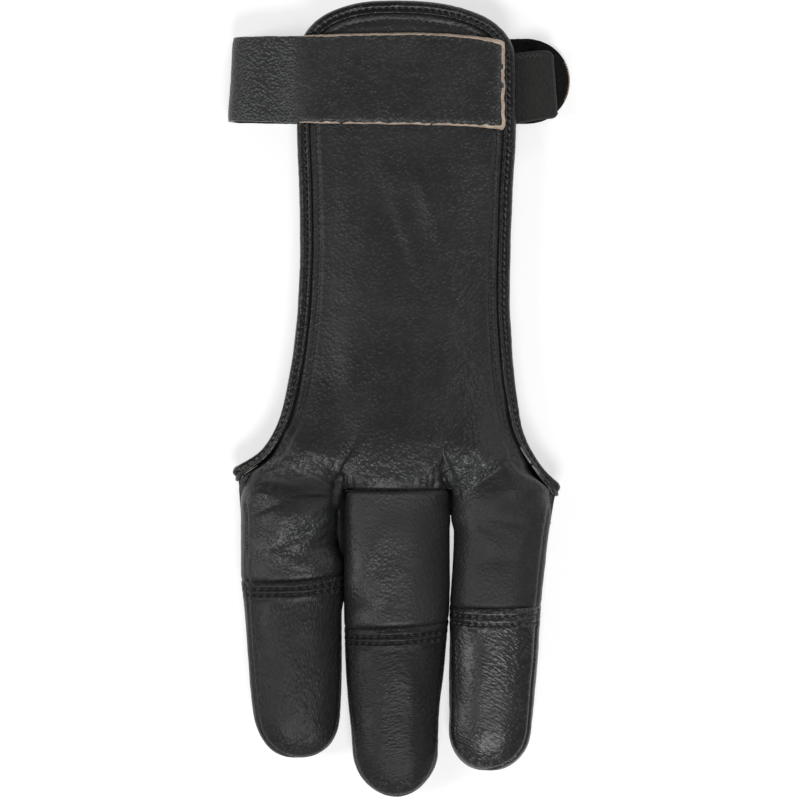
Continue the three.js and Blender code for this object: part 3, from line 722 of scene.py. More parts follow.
def rims(quads, count):
    """A face along each open edge, from the outer skin to the inner one."""
    starts = quads.ravel()
    ends = np.roll(quads, -1, axis=1).ravel()
    size = int(quads.max()) + 1
    lone = ~np.isin(ends * size + starts, starts * size + ends)
    lone &= starts != ends
    a, b = starts[lone], ends[lone]
    return np.stack([b, a, a + count, b + count], axis=-1)


def two_skins(top, under):
    """A closed mesh from two skins on the same grid, joined round their edges."""
    rows, columns = top.shape[:2]
    points = np.concatenate([top.reshape(-1, 3), under.reshape(-1, 3)])
    quads = grid_quads(rows, columns)
    return points, np.concatenate([quads, quads[:, ::-1] + rows * columns, rims(quads, rows * columns)])


def outward(points, quads):
    """The same faces, turned so that the closed mesh they make has its outside out."""
    a, b, c, d = (points[quads[:, k]] for k in range(4))
    volume = np.sum(a * np.cross(b, c)) + np.sum(a * np.cross(c, d))
    return quads if volume > 0 else quads[:, ::-1]


def frame_shift():
    """How far the frame moves the glove's own axes, read from the hook pad, which lies square to them."""
    low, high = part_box("elastic_hook_pad")
    x = low[0] * 1000 - (ELASTIC_RETURN + PAD_MARGIN)
    y = (low[1] + high[1]) * 500 - ELASTIC_PLACE
    return np.array([x, y, 0.0])


SHIFT = frame_shift()


def add_object(name, data):
    made = bpy.data.objects.new(name, data)
    bpy.context.scene.collection.objects.link(made)
    return made


def smooth_object(name, points, faces, materials, replaces=()):
    """One mesh object, in metres in the shared frame, riding on the glove's one body."""
    mesh = bpy.data.meshes.new(name)
    mesh.from_pydata(((points + SHIFT) / 1000).tolist(), [], faces)
    for material in materials:
        mesh.materials.append(material)
    mesh.polygons.foreach_set("use_smooth", np.ones(len(mesh.polygons), dtype=bool))
    mesh.update()
    made = add_object(name, mesh)
    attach(made, "root")
    if replaces:
        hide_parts(*replaces)
    return made


def piece(name, points, faces, materials, replaces, sides=None, wear_and_painted_light=None, sharp=42):
    """An object in place of plain solids. Each face's side is the number of its material."""
    flat = faces[:, 2] == faces[:, 3]
    listed = faces[~flat].tolist() + faces[flat][:, :3].tolist()
    mesh = smooth_object(name, points, listed, materials, replaces).data
    if sides is not None:
        order = np.concatenate([np.flatnonzero(~flat), np.flatnonzero(flat)])
        mesh.polygons.foreach_set("material_index", sides[order].astype(np.int32))
    if wear_and_painted_light is not None:
        layer = mesh.attributes.new("wear_and_painted_light", "FLOAT", "POINT")
        layer.data.foreach_set("value", wear_and_painted_light.astype(np.float32))
    mesh.validate()
    mesh.update()
    mesh.set_sharp_from_angle(angle=math.radians(sharp))


def wall(name, skin, quads, outer, cut, replaces, wear_and_painted_light, thickness=LEATHER, lowest=-1e9, highest=1e9):
    """A closed wall of leather from its outer skin: the flesh side within, the cut edge round the rim."""
    inner = skin - corner_normals(skin, quads) * thickness
    inner[:, 2] = np.clip(inner[:, 2], lowest, highest)
    used = np.unique(quads)
    place = np.full(len(skin), -1)
    place[used] = np.arange(len(used))
    quads = place[quads]
    rim = rims(quads, len(used))
    faces = np.concatenate([quads, quads[:, ::-1] + len(used), rim])
    sides = np.repeat([0, 1, 2], [len(quads), len(quads), len(rim)])
    points = np.concatenate([skin[used], inner[used]])
    piece(name, points, faces, [outer, flesh_side, cut], replaces, sides, np.tile(wear_and_painted_light[used], 2))


# Materials, all procedural. Object coordinates are metres, so the scales turn them into millimetres.


class Nodes:
    """A short way to lay out one material's nodes."""

    def __init__(self, name):
        self.material = bpy.data.materials.new(name)
        self.material.use_nodes = True
        self.tree = self.material.node_tree
        self.tree.nodes.clear()
        self.output = self.add("OutputMaterial")
        self.shader = self.add("BsdfPrincipled")
        self.link(self.shader.outputs[0], self.output.inputs[0])
        self.place = self.add("TexCoord").outputs["Object"]

    def add(self, kind, values=None, **settings):
        """A node of one kind, with its settings and the values of its inputs."""
        node = self.tree.nodes.new("ShaderNode" + kind)
        for key, value in settings.items():
            setattr(node, key, value)
        self.fill(node, values or {})
        return node

    def link(self, a, b):
        self.tree.links.new(a, b)

    def fill(self, node, values):
        for key, value in values.items():
            if isinstance(value, bpy.types.NodeSocket):
                self.link(value, node.inputs[key])
            else:
                node.inputs[key].default_value = value

    def mapped(self, size, turn=0.0, stretch=(1, 1, 1)):
        scale = [size * s / 1000 for s in stretch]
        values = {"Vector": self.place, "Rotation": (0, 0, math.radians(turn)), "Scale": scale}
        return self.add("Mapping", values, vector_type="TEXTURE").outputs[0]

    def noise(self, vector, detail=3.0, rough=0.55, distortion=0.0):
        values = {"Vector": vector, "Scale": 1, "Detail": detail, "Roughness": rough}
        return self.add("TexNoise", {**values, "Distortion": distortion}).outputs[0]

    def cells(self, vector):
        return self.add("TexVoronoi", {"Vector": vector, "Scale": 1}, feature="F1").outputs[0]

    def bent(self, vector, amount, size):
        """The place moved a little by noise, so that cells aren't too regular."""
        shift = self.add("TexNoise", {"Vector": self.mapped(size), "Scale": 1}).outputs[1]
        values = {0: shift, 1: (amount,) * 3, 2: vector}
        return self.add("VectorMath", values, operation="MULTIPLY_ADD").outputs[0]

    def math(self, operation, a, b=0.5, c=0.5):
        return self.add("Math", {0: a, 1: b, 2: c}, operation=operation).outputs[0]

    def ranged(self, value, low, high, to_low=0.0, to_high=1.0):
        values = {"Value": value, "From Min": low, "From Max": high, "To Min": to_low, "To Max": to_high}
        return self.add("MapRange", values, interpolation_type="SMOOTHSTEP").outputs[0]

    def blend(self, factor, a, b):
        a, b = (one if isinstance(one, bpy.types.NodeSocket) else (*one, 1) for one in (a, b))
        return self.add("Mix", {0: factor, 6: a, 7: b}, data_type="RGBA").outputs[2]

    def field(self, name):
        return self.add("Attribute", attribute_name=name).outputs["Fac"]

    def bump(self, height, strength, distance, before=None):
        values = {"Strength": strength, "Distance": distance / 1000, "Height": height}
        if before is not None:
            values["Normal"] = before
        return self.add("Bump", values).outputs[0]

    def finish(self, color, rough, normal=None, level=0.5, sheen=0.0):
        values = {"Base Color": color, "Roughness": rough, "Specular IOR Level": level, "Sheen Weight": sheen}
        if normal is not None:
            values["Normal"] = normal
        self.fill(self.shader, values)
        return self.material


def leather(name, dark, light, grain=0.85, turn=35, stretch=1.4, depth=0.1, rough=(0.36, 0.47), level=0.42,
            creases=0.0):
    """Dyed grain leather: pebbles between fine creases, pores, and wear where the wear field is high.

    Where that field is high the colour is also painted lighter as a painted highlight; below zero the field
    makes the leather matt and paints it darker as painted shade. Creases, if any, run along the grain's turn.
    """
    n = Nodes(name)
    wide = n.noise(n.mapped(16), 2.0)
    patches = n.noise(n.mapped(4.5), 2.0)
    placed = n.bent(n.mapped(grain, turn, (stretch, 1, 1.2)), 0.45, grain * 2.6)
    pebble = n.ranged(n.cells(placed), 0.05, 0.7, 1.0, 0.0)
    small = n.noise(n.mapped(grain * 0.7, turn, (stretch, 1, 1)), 4.0, 0.65, 0.3)
    pores = n.noise(n.mapped(0.22), 2.0, 0.6)
    wear_and_highlight = n.math("MAXIMUM", n.field("wear_and_painted_light"), 0.0)
    dull_and_shaded = n.math("MULTIPLY", n.math("MINIMUM", n.field("wear_and_painted_light"), 0.0), -1.0)
    strength = n.math("MULTIPLY_ADD", wear_and_highlight, 3.4, n.ranged(patches, 0.3, 0.7, 0.35, 0.9))
    normal = n.bump(n.math("MULTIPLY", pebble, strength), 1.0, depth)
    normal = n.bump(n.math("MULTIPLY", small, strength), 0.4, depth, normal)
    normal = n.bump(pores, 0.5, depth * 0.3, normal)
    if creases:
        lines = n.noise(n.bent(n.mapped(0.8, turn, (4.5, 1, 1)), 0.6, 5.0), 2.0, 0.5)
        normal = n.bump(lines, 1.0, creases, normal)
    tone = n.math("MULTIPLY_ADD", wide, 0.5, n.math("MULTIPLY", pebble, 0.3))
    color = n.blend(n.ranged(tone, 0.2, 0.62), dark, light)
    # Wear and painted highlight: a lighter colour where the field is high
    color = n.blend(n.math("MULTIPLY", wear_and_highlight, 0.9), color, [c * 2.6 for c in light])
    shade = n.ranged(n.math("MULTIPLY_ADD", pores, 0.25, wide), 0.35, 0.85, rough[0], rough[1])
    # Painted shade: a darker colour where the field is below zero
    color = n.blend(n.math("MULTIPLY", dull_and_shaded, 0.8), color, [c * 0.45 for c in dark])
    shade = n.math("MULTIPLY_ADD", wear_and_highlight, -0.26, shade)
    shade = n.math("MULTIPLY_ADD", dull_and_shaded, 0.3, shade)
    return n.finish(color, shade, normal, level)


def suede(name, dark, light, depth=0.14, size=0.35, level=0.2, sheen=0.2):
    """The cut or flesh side of leather: short matted fibres."""
    n = Nodes(name)
    fibres = n.noise(n.mapped(size, 20, (2.2, 1, 1)), 4.0, 0.7, 0.6)
    patches = n.noise(n.mapped(3.2), 3.0)
    tone = n.math("MULTIPLY_ADD", fibres, 0.5, n.math("MULTIPLY", patches, 0.6))
    color = n.blend(n.ranged(tone, 0.35, 0.75), dark, light)
    normal = n.bump(fibres, 0.9, depth)
    return n.finish(color, n.ranged(patches, 0.3, 0.7, 0.82, 0.95), normal, level, sheen=sheen)


def fabric(name, dark, light, size=0.5, turn=0.0, stretch=(1, 1, 1), depth=0.1, level=0.25, sheen=0.1):
    """Yarn with fine fibres, for tape, elastic and thread."""
    n = Nodes(name)
    yarn = n.noise(n.mapped(size, turn, stretch), 3.0, 0.6)
    fuzz = n.noise(n.mapped(size * 0.3), 2.0, 0.7)
    tone = n.math("MULTIPLY_ADD", yarn, 0.6, n.math("MULTIPLY", fuzz, 0.4))
    color = n.blend(n.ranged(tone, 0.3, 0.72), dark, light)
    normal = n.bump(yarn, 0.8, depth)
    normal = n.bump(fuzz, 0.6, depth * 0.5, normal)
    return n.finish(color, n.ranged(fuzz, 0.3, 0.7, 0.72, 0.92), normal, level, sheen=sheen)


def grey(value, warm=0.0):
    return (value * (1 + warm), value, value * (1 - warm))


back_leather = leather(
    "back leather", grey(0.0118, -0.03), grey(0.0195, -0.03), grain=0.95, stretch=1.15, depth=0.11,
    rough=(0.40, 0.50), level=0.45,
)
palm_leather = leather("palm leather", grey(0.007), grey(0.012), depth=0.14, rough=(0.48, 0.62), level=0.4)
CAP_LOOKS = (("ring", 78, 0.42, 0.33), ("middle", 14, 0.42, 0.32), ("index", -28, 0.33, 0.58))
cap_leathers = {
    name: leather(
        f"{name} cap leather", grey(0.0075), grey(0.0125), grain=0.75, turn=turn, stretch=2.0, depth=0.11,
        rough=(rough, rough + 0.1), level=level, creases=0.12,
    )
    for name, turn, rough, level in CAP_LOOKS
}
binding_leather = leather(
    "binding leather", grey(0.005, -0.03), grey(0.009, -0.03), grain=0.7, depth=0.07, rough=(0.3, 0.4),
)
strap_leather = leather(
    "strap leather", grey(0.0145, -0.03), grey(0.0255, -0.03), grain=0.8, turn=38, stretch=1.3, depth=0.10,
    rough=(0.40, 0.50), creases=0.10,
)
flesh_side = suede("leather flesh side", grey(0.009, 0.04), grey(0.018, 0.04))
raw_edge = suede("raw leather edge", (0.38, 0.285, 0.22), (0.70, 0.56, 0.44), level=0.15)
raw_cap_edge = suede("cap leather edge", grey(0.010), grey(0.022), depth=0.08, sheen=0.0)
rubbed_edge = suede("rubbed leather edge", (0.19, 0.17, 0.15), (0.46, 0.42, 0.38), level=0.3)
selvedge_thread = fabric("selvedge thread", grey(0.035, 0.04), grey(0.110, 0.05), size=0.25)
black_thread = fabric("black thread", grey(0.004), grey(0.012), size=0.25, turn=60, stretch=(3, 1, 1))
brown_thread = fabric("brown thread", (0.012, 0.006, 0.006), (0.034, 0.017, 0.016), size=0.25)
pale_thread = fabric("pale thread", (0.10, 0.075, 0.05), (0.24, 0.18, 0.12), size=0.25)
elastic_yarn = fabric(
    "elastic webbing", grey(0.012, 0.03), grey(0.034, 0.04), size=0.55, stretch=(0.7, 2.0, 1),
)
loop_yarn = fabric("loop pile", grey(0.004, 0.05), grey(0.011, 0.08), size=0.4, depth=0.2, sheen=0.05)
hook_plastic = fabric("hook tape", grey(0.006), grey(0.016), size=0.6, depth=0.06, level=0.4, sheen=0.0)


# The bound edge, as one closed line round the glove


class Edge:
    """The line that the binding follows, with the way into the leather and the way up at each stop."""

    def __init__(self, spacing):
        points, inner = self.stops()
        gone = lengths_along(closed(points))
        self.length = gone[-1]
        count = int(round(self.length / spacing))
        self.at = np.arange(count) * self.length / count
        self.point = self.smooth(sampled(closed(points), gone, self.at), 1.4 / spacing)
        # The binding's ends stand out a little at the two corners.
        for one, across, corner in ((RING, 0.0, LEFT_CORNER), (INDEX, 1.0, RIGHT_CORNER)):
            tip = back_point(one, np.array([across]), np.array([float(corner)]))[0]
            closest = np.argmin(np.linalg.norm(self.point - tip, axis=1))
            away = np.abs(self.at - self.at[closest])
            away = np.minimum(away, self.length - away)
            self.point[:, 0] += (2 * across - 1) * 1.1 * bell(away, 3.4)
        self.along = unit(np.roll(self.point, -1, axis=0) - np.roll(self.point, 1, axis=0))
        inwards = self.smooth(sampled(closed(unit(inner - points)), gone, self.at), 2.4 / spacing)
        inwards -= self.along * np.sum(inwards * self.along, axis=1, keepdims=True)
        self.inwards = unit(inwards)
        self.up = np.cross(self.along, self.inwards)

    @staticmethod
    def smooth(values, sigma):
        reach = int(sigma * 3) + 1
        weights = np.exp(-0.5 * (np.arange(-reach, reach + 1) / sigma) ** 2)
        weights /= weights.sum()
        return sum(w * np.roll(values, k, axis=0) for k, w in zip(range(-reach, reach + 1), weights))

    @staticmethod
    def stops():
        """Points along the open edge of the plain leather, and one further into it beside each."""
        def side(one, across, corner, count=160):
            y = mix(corner, DOME_START, np.linspace(1, 0, count, endpoint=False) ** 1.2)
            places = (float(across), mix(across, 0.5, 2 / 7))
            return np.stack([back_point(one, np.full(count, place), y) for place in places])

        palm_share = (1 - np.cos(np.pi * np.linspace(0, 1, 180))) / 2
        y = palm_edge(palm_share)
        palm = [on_columns(palm_point, palm_share, place) for place in (y, mix(y, -CROTCH_DEPTH, 0.25))]
        wrist_share = (1 + np.cos(np.pi * np.linspace(0, 1, 162)[1:-1])) / 2
        y = dome_at(wrist_share)
        deeper = mix(STRAIGHT_END, y, math.sin(math.pi / 3))
        wrist = [
            on_columns(back_point, wrist_share, y),
            on_columns(back_point, mix(wrist_share, 0.5, 0.12), deeper),
        ]
        left, right = side(RING, 0, LEFT_CORNER), side(INDEX, 1, RIGHT_CORNER)[:, ::-1]
        return np.concatenate([left, palm, right, wrist], axis=1)


edge = Edge(0.4)
# Which stops of the edge lie on the back of the glove
edge_on_back = edge.up[:, 2] > 0.35


# The back leather


def dressed(points, quads, amount):
    """The points moved out from their faces, each by its own amount."""
    return points + corner_normals(points, quads) * amount[:, None]


def back_amount(points):
    """How far the back stands out from its plain form: folds, grain and the sewn lines."""
    x, y = points[:, 0], points[:, 1]
    rise = relief(SMALL_FOLDS, x, y) + relief(CREASES, x, y, sharp=True)
    rise += (FACET_RISE + FACET_SLOPE * (y - 6)) * facet(x, y)
    crumpled = np.clip(relief(CRUMPLES, x, y), 0, 1.2)
    fine = crinkle(points, 2.3, 38, 1.5, 11)
    broad = noise(points / np.array([7.0, 11.0, 9.0]), 5)
    rise += crumpled * (0.34 * fine + 0.20 * noise(points / 3.4, 9))
    rise += 0.14 * broad + 0.05 * noise(points / 4.0, 13)
    from_edge = nearest(points, edge.point[edge_on_back])
    on_panel = ease(y, -3, 2)
    near_corner = ease(y, 4, 13)
    sewn = -0.34 * bell(from_edge - INNER_ROW, 0.55) * near_corner
    puffed = 0.16 * bell(from_edge - 3.2, 0.7) + 0.1 * bell(from_edge - 5.8, 0.9)
    pressed = -0.25 * (1 - ease(from_edge, 1.8, 2.7))
    rise += (sewn + puffed + pressed) * on_panel
    seam = np.abs(y)
    pucker = np.sin(x * 2.9 + 1.4 * np.sin(x * 0.8)) * 0.5 + 0.5
    above = ease(y, -0.3, 0.3)
    gathered = 0.5 * bell(seam - 2.6, 2.0) * pucker - 0.5 * bell(seam, 1.8)
    tuck = above * gathered - 0.75 * bell(seam, 0.45)
    return rise + tuck * ease(KNUCKLE_SEAM_HALF - np.abs(x - MIDDLE["x"]), 0, 0.8)


def side_seam(points, one):
    """The seam of an outer sleeve, a little inside its outline: a groove with a ridge beside it."""
    y = points[:, 1]
    left, right = finger_span(one, np.minimum(y, 0))
    if one is RING:
        inside, place, depth = points[:, 0] - left, 1.9, 0.8
    else:
        inside, place, depth = right - points[:, 0], 1.3, 0.5
    return (0.18 * bell(inside - place - 1.1, 0.7) - depth * bell(inside - place, 0.3)) * ease(-y, 2, 6)


def sleeve_rows(one, across, start, rows):
    """The Y of each row of a finger's sleeve, from its start to its end under the cap."""
    rim = rim_at(one, across)
    neck_start, neck_end = rim + NECK_LENGTH, rim - NECK_END
    plain_rows = rows - NECK_ROWS - 1
    upper = [mix(start, neck_start, k / plain_rows) for k in range(1, plain_rows + 1)]
    neck = [mix(neck_start, neck_end, k / NECK_ROWS) for k in range(1, NECK_ROWS + 1)]
    return upper + neck + [np.full(len(across), -(one["rim"][1] + SLEEVE_OVERLAP))]


def three_sleeves(across, start, rows):
    """The same for all three fingers side by side."""
    return [np.concatenate(row) for row in zip(*(sleeve_rows(one, across, start, rows) for one in FINGERS))]


def finger_grid(function, across, rows, is_cut):
    """Points and faces over all three fingers from the Y of each row, with some faces left out."""
    points = [function(one, across, y) for row in rows for one, y in zip(FINGERS, np.split(row, 3))]
    columns = 3 * len(across)
    row, column = np.meshgrid(np.arange(len(rows) - 1), np.arange(columns - 1), indexing="ij")
    between = column % len(across) == len(across) - 1
    return np.concatenate(points), grid_quads(len(rows), columns, is_cut(row, column // len(across), between))


def back_wall(name, replaces, skin, quads, wear_and_painted_light, most):
    """A piece of the back leather, matt and painted darker as painted shade in its shaded places."""
    wear_and_painted_light = np.clip(wear_and_painted_light - relief(DULL_SHADED_PLACES, skin[:, 0], skin[:, 1]), -1, most)
    wall(name, skin, quads, back_leather, flesh_side, replaces, wear_and_painted_light, lowest=BACK_LOWEST)


def make_back():
    rows_down, rows_up, rows_dome = 64, 190, 34
    across = np.arange(BACK_COLUMNS + 1) / BACK_COLUMNS
    shares = np.concatenate([share_of(one, across) for one in FINGERS])
    rows = three_sleeves(across, CLEARANCE / 2, rows_down)[::-1]
    for k in range(rows_up + 1):
        rows.append(np.full(len(shares), mix(CLEARANCE / 2, STRAIGHT_END, (k / rows_up) ** 1.35)))
    for k in range(1, rows_dome + 1):
        rows.append(mix(STRAIGHT_END, dome_at(shares), math.sin(k / rows_dome * math.pi / 2)))

    def is_cut(row, owner, between):
        return (row < rows_down) & (between | (owner == 1))

    points, quads = finger_grid(back_point, across, rows, is_cut)
    amount = back_amount(points)
    owner = np.tile(np.repeat([0, 1, 2], len(across)), len(rows))
    for k, one in ((0, RING), (2, INDEX)):
        amount += np.where(owner == k, side_seam(points, one), 0)
    skin = dressed(points, quads, amount)
    skin[:, 2] = np.maximum(skin[:, 2], BACK_LOWEST)
    # Painted highlight: the crumpled places and the knuckle patch get a lighter colour through this field
    wear_and_painted_light = relief(CRUMPLES, skin[:, 0], skin[:, 1]) * 0.35 + 0.45 * facet(skin[:, 0], skin[:, 1])
    back_wall("back_leather", ["back_panel"], skin, quads, wear_and_painted_light, 0.65)
    return skin, quads


def make_middle_back():
    across = np.linspace(0, 1, 72)
    rows = [np.full(len(across), MIDDLE_START)] + sleeve_rows(MIDDLE, across, MIDDLE_START, 110)
    points = np.concatenate([back_point(MIDDLE, across, y) for y in rows[::-1]])
    quads = grid_quads(len(rows), len(across))
    skin = dressed(points, quads, back_amount(points))
    skin[:, 2] = np.maximum(skin[:, 2], BACK_LOWEST)
    # Painted highlight: the crumpled places get a lighter colour through this field
    wear_and_painted_light = relief(CRUMPLES, skin[:, 0], skin[:, 1]) * 0.3
    back_wall("middle_finger_leather", ["middle_finger_back"], skin, quads, wear_and_painted_light, 0.4)


def make_palm():
    band, sleeves = 22, 70
    across = np.arange(PALM_COLUMNS + 1) / PALM_COLUMNS
    shares = np.concatenate([share_of(one, across) for one in FINGERS])
    rows = [mix(palm_edge(shares), -CROTCH_DEPTH, k / band) for k in range(band + 1)]
    rows += three_sleeves(across, -CROTCH_DEPTH, sleeves)

    def is_cut(row, owner, between):
        return (row >= band) & between

    points, quads = finger_grid(palm_point, across, rows, is_cut)
    amount = 0.10 * noise(points / np.array([6.0, 9.0, 6.0]), 21) + 0.05 * noise(points / 2.6, 23)
    skin = dressed(points, quads, amount)
    skin[:, 2] = np.clip(skin[:, 2], LOWEST, PALM_HIGHEST)
    wall("palm_leather", skin, quads, palm_leather, flesh_side, ["palm_panel"],
         np.zeros(len(skin)), lowest=LOWEST, highest=PALM_HIGHEST)


# Stitches: short capsules of thread, half sunk in a line


def stitches(name, centres, alongs, ups, length, radius, material, tilt=0.0, sides=6):
    """One mesh of many stitches. Each lies along its line, with its ends going down into the leather."""
    along = unit(alongs)
    up = unit(ups - along * np.sum(ups * along, axis=1, keepdims=True))
    aside = np.cross(along, up)
    along = along * math.cos(tilt) + aside * math.sin(tilt)
    aside = np.cross(along, up)
    shares = np.array([-1, -0.82, -0.45, 0, 0.45, 0.82, 1])
    swell = np.array([0.35, 0.8, 1, 1.04, 1, 0.8, 0.35])
    sink = np.array([-1.5, -0.55, -0.08, 0.0, -0.08, -0.55, -1.5])
    turns = np.arange(sides) * 2 * math.pi / sides
    rings = []
    for share, size, drop in zip(shares, swell, sink):
        middle = centres + along * (share * length / 2) + up * (drop * radius)
        for turn in turns:
            rings.append(middle + (aside * math.cos(turn) + up * math.sin(turn)) * radius * size)
    points = np.stack(rings, axis=1)
    points[..., 2] = np.maximum(points[..., 2], 0.02)
    count = len(shares) * sides
    quads = grid_quads(len(shares), sides, wraps=True)
    caps = np.array([np.arange(sides)[::-1], np.arange(count - sides, count)])
    starts = np.arange(len(centres)) * count
    faces = (starts[:, None, None] + quads[None]).reshape(-1, 4).tolist()
    faces += (starts[:, None, None] + caps[None]).reshape(-1, sides).tolist()
    smooth_object(name, points.reshape(-1, 3), faces, [material])


# The fingertip caps

# How far the two stitch rows lie from each cap's rim, and how far the second row's beat is ahead
CAP_ROWS = {"ring": (2.0, 3.8), "middle": (2.5, 4.4), "index": (2.3, 4.7)}
CAP_BEATS = (0.0, 0.9)
CAP_PITCH = 2.3
CAP_SIDES = 150


def outline_of(one, count=500):
    """The cap's outline seen from above, from its left side round the tip to its right side."""
    y = mix(rim_at(one, 0.0), -one["length"], np.sin(np.linspace(0, 1, count) * math.pi / 2))
    left = tube_point(one, 0.0, y, True)
    right = tube_point(one, 1.0, y, True)
    return np.concatenate([left, right[::-1]])


def cap_relief(name, one, points, normals, depth, gone, total):
    """The folded rim, the two sewn rows with soft bands between them, the side seam and the creases."""
    first, second = CAP_ROWS[name]
    beat = gone / total * round(total / CAP_PITCH) * 2 * np.pi
    uneven = noise(points / 2.4, 37)
    facing = mix(0.25, 1.0, ease(np.abs(normals[:, 2]), 0.1, 0.6))
    rise = -0.3 * bell(depth, 0.3)
    for place, shift in zip(CAP_ROWS[name], CAP_BEATS):
        pillow = 0.5 - 0.5 * np.cos(beat + shift)
        rise += -bell(depth - place, 0.34) * mix(0.12, 0.58, pillow**1.5) * facing
        rise += 0.14 * bell(depth - place, 0.9) * (1 - pillow) * facing
    middle = (first + second) / 2
    bands = 0.24 * bell(depth - middle, 0.5) + (0.22 + 0.12 * uneven) * bell(depth - first / 2 - 0.2, 0.6)
    rise += (bands + (0.16 + 0.16 * uneven) * bell(depth - second - 1.0, 0.8)) * facing
    inside = nearest(points, outline_of(one))
    lower = ease(points[:, 1], -one["length"] - 1, -one["length"] + 22)
    if one is RING:
        outer = ease(one["x"] - 2 - points[:, 0], -4, 4)
        seam_in = mix(0.2, 1.35, outer * mix(0.75, 1.0, lower))
    elif one is INDEX:
        outer = ease(points[:, 0] - one["x"] + 3, -4, 4)
        seam_in = mix(0.2, 1.1, outer)
    else:
        seam_in = 0.3
    upper = ease(points[:, 2], SEAM_HEIGHT - 0.5, SEAM_HEIGHT + 0.4)
    open_part = ease(depth, 0.3, 1.0)
    seam = 0.16 * bell(inside - seam_in - 1.0, 0.7) - 0.6 * bell(inside - seam_in, 0.26)
    rise += seam * upper * open_part
    rise += 0.24 * noise(points / np.array([7.0, 12.0, 7.0]), 31) + 0.05 * noise(points / 2.2, 33)
    return rise


def make_cap(name, one):
    length = one["length"] - one["rim"][1]
    tip_share = one["tip_length"] / length
    sewn_share = 7.5 / length
    depths = np.concatenate([
        np.linspace(0, sewn_share, 36, endpoint=False),
        np.linspace(sewn_share, 1 - tip_share, 46, endpoint=False),
        1 - tip_share * (1 - np.sin(np.linspace(0, 1, 34) * math.pi / 2)),
    ])[:-1]
    turn = 2 * np.arange(CAP_SIDES) / CAP_SIDES
    on_back = turn <= 1
    across = np.where(on_back, turn, 2 - turn)
    rim = rim_at(one, across)
    rings = [tube_point(one, across, mix(rim, -one["length"], share), on_back) for share in depths]
    tip_point = tube_point(one, np.array([0.5]), np.array([-float(one["length"])]), True)
    points = np.concatenate(rings + [tip_point])
    rows = len(depths)
    last, tip = (rows - 1) * CAP_SIDES, np.full(CAP_SIDES, rows * CAP_SIDES)
    side = np.arange(CAP_SIDES)
    fan = np.stack([last + (side + 1) % CAP_SIDES, last + side, tip, tip], axis=-1)
    quads = np.concatenate([grid_quads(rows, CAP_SIDES, wraps=True)[:, ::-1], fan])
    normals = corner_normals(points, quads)
    gone = lengths_along(closed(rings[8]))
    total = gone[-1]
    depth = np.append(np.repeat(depths * length, CAP_SIDES), length)
    around = np.append(np.tile(gone[:-1], rows), 0)
    skin = points + normals * cap_relief(name, one, points, normals, depth, around, total)[:, None]
    skin[:, 2] = np.maximum(skin[:, 2], LOWEST)
    wear_and_painted_light = 0.5 * bell(depth - 0.6, 0.5) + 0.4 * ease(depth, length - 9, length)
    wear_and_painted_light = np.clip(wear_and_painted_light * (0.5 + 0.5 * noise(skin / 3.0, 41)), 0, 0.5)
    wall(f"{name}_cap_leather", skin, quads, cap_leathers[name], raw_cap_edge,
         [f"{name}_fingertip_cap"], wear_and_painted_light, CAP_LEATHER)
    skin_normals = corner_normals(skin, quads)
    number = int(round(total / CAP_PITCH))
    sewn = []
    for place, shift in zip(CAP_ROWS[name], CAP_BEATS):
        start = int(np.argmin(np.abs(depths * length - place))) * CAP_SIDES
        line, up = (closed(part[start : start + CAP_SIDES]) for part in (skin, skin_normals))
        gone = lengths_along(line)
        at = (np.arange(number) + 0.5 - shift / (2 * np.pi)) * gone[-1] / number
        before, after = np.maximum(at - 0.5, 0), np.minimum(at + 0.5, gone[-1])
        along = sampled(line, gone, after) - sampled(line, gone, before)
        sewn.append((sampled(line, gone, at), along, sampled(up, gone, at)))
    centres, alongs, ups = (np.concatenate(part) for part in zip(*sewn))
    stitches(f"{name}_cap_stitches", centres, alongs, ups, STITCH_LENGTH, STITCH_RADIUS,
             black_thread, tilt=0.12)


# The binding


def spline(points, per):
    """A smooth curve through points, as many stops per span."""
    points = np.asarray(points, dtype=float)
    padded = np.concatenate([[2 * points[0] - points[1]], points, [2 * points[-1] - points[-2]]])
    made = []
    for k in range(len(points) - 1):
        a, b, c, d = padded[k : k + 4]
        for t in np.arange(per) / per:
            bend, twist = 2 * a - 5 * b + 4 * c - d, 3 * b - a - 3 * c + d
            made.append(0.5 * (2 * b + (c - a) * t + bend * t * t + twist * t**3))
    made.append(points[-1])
    return np.array(made)


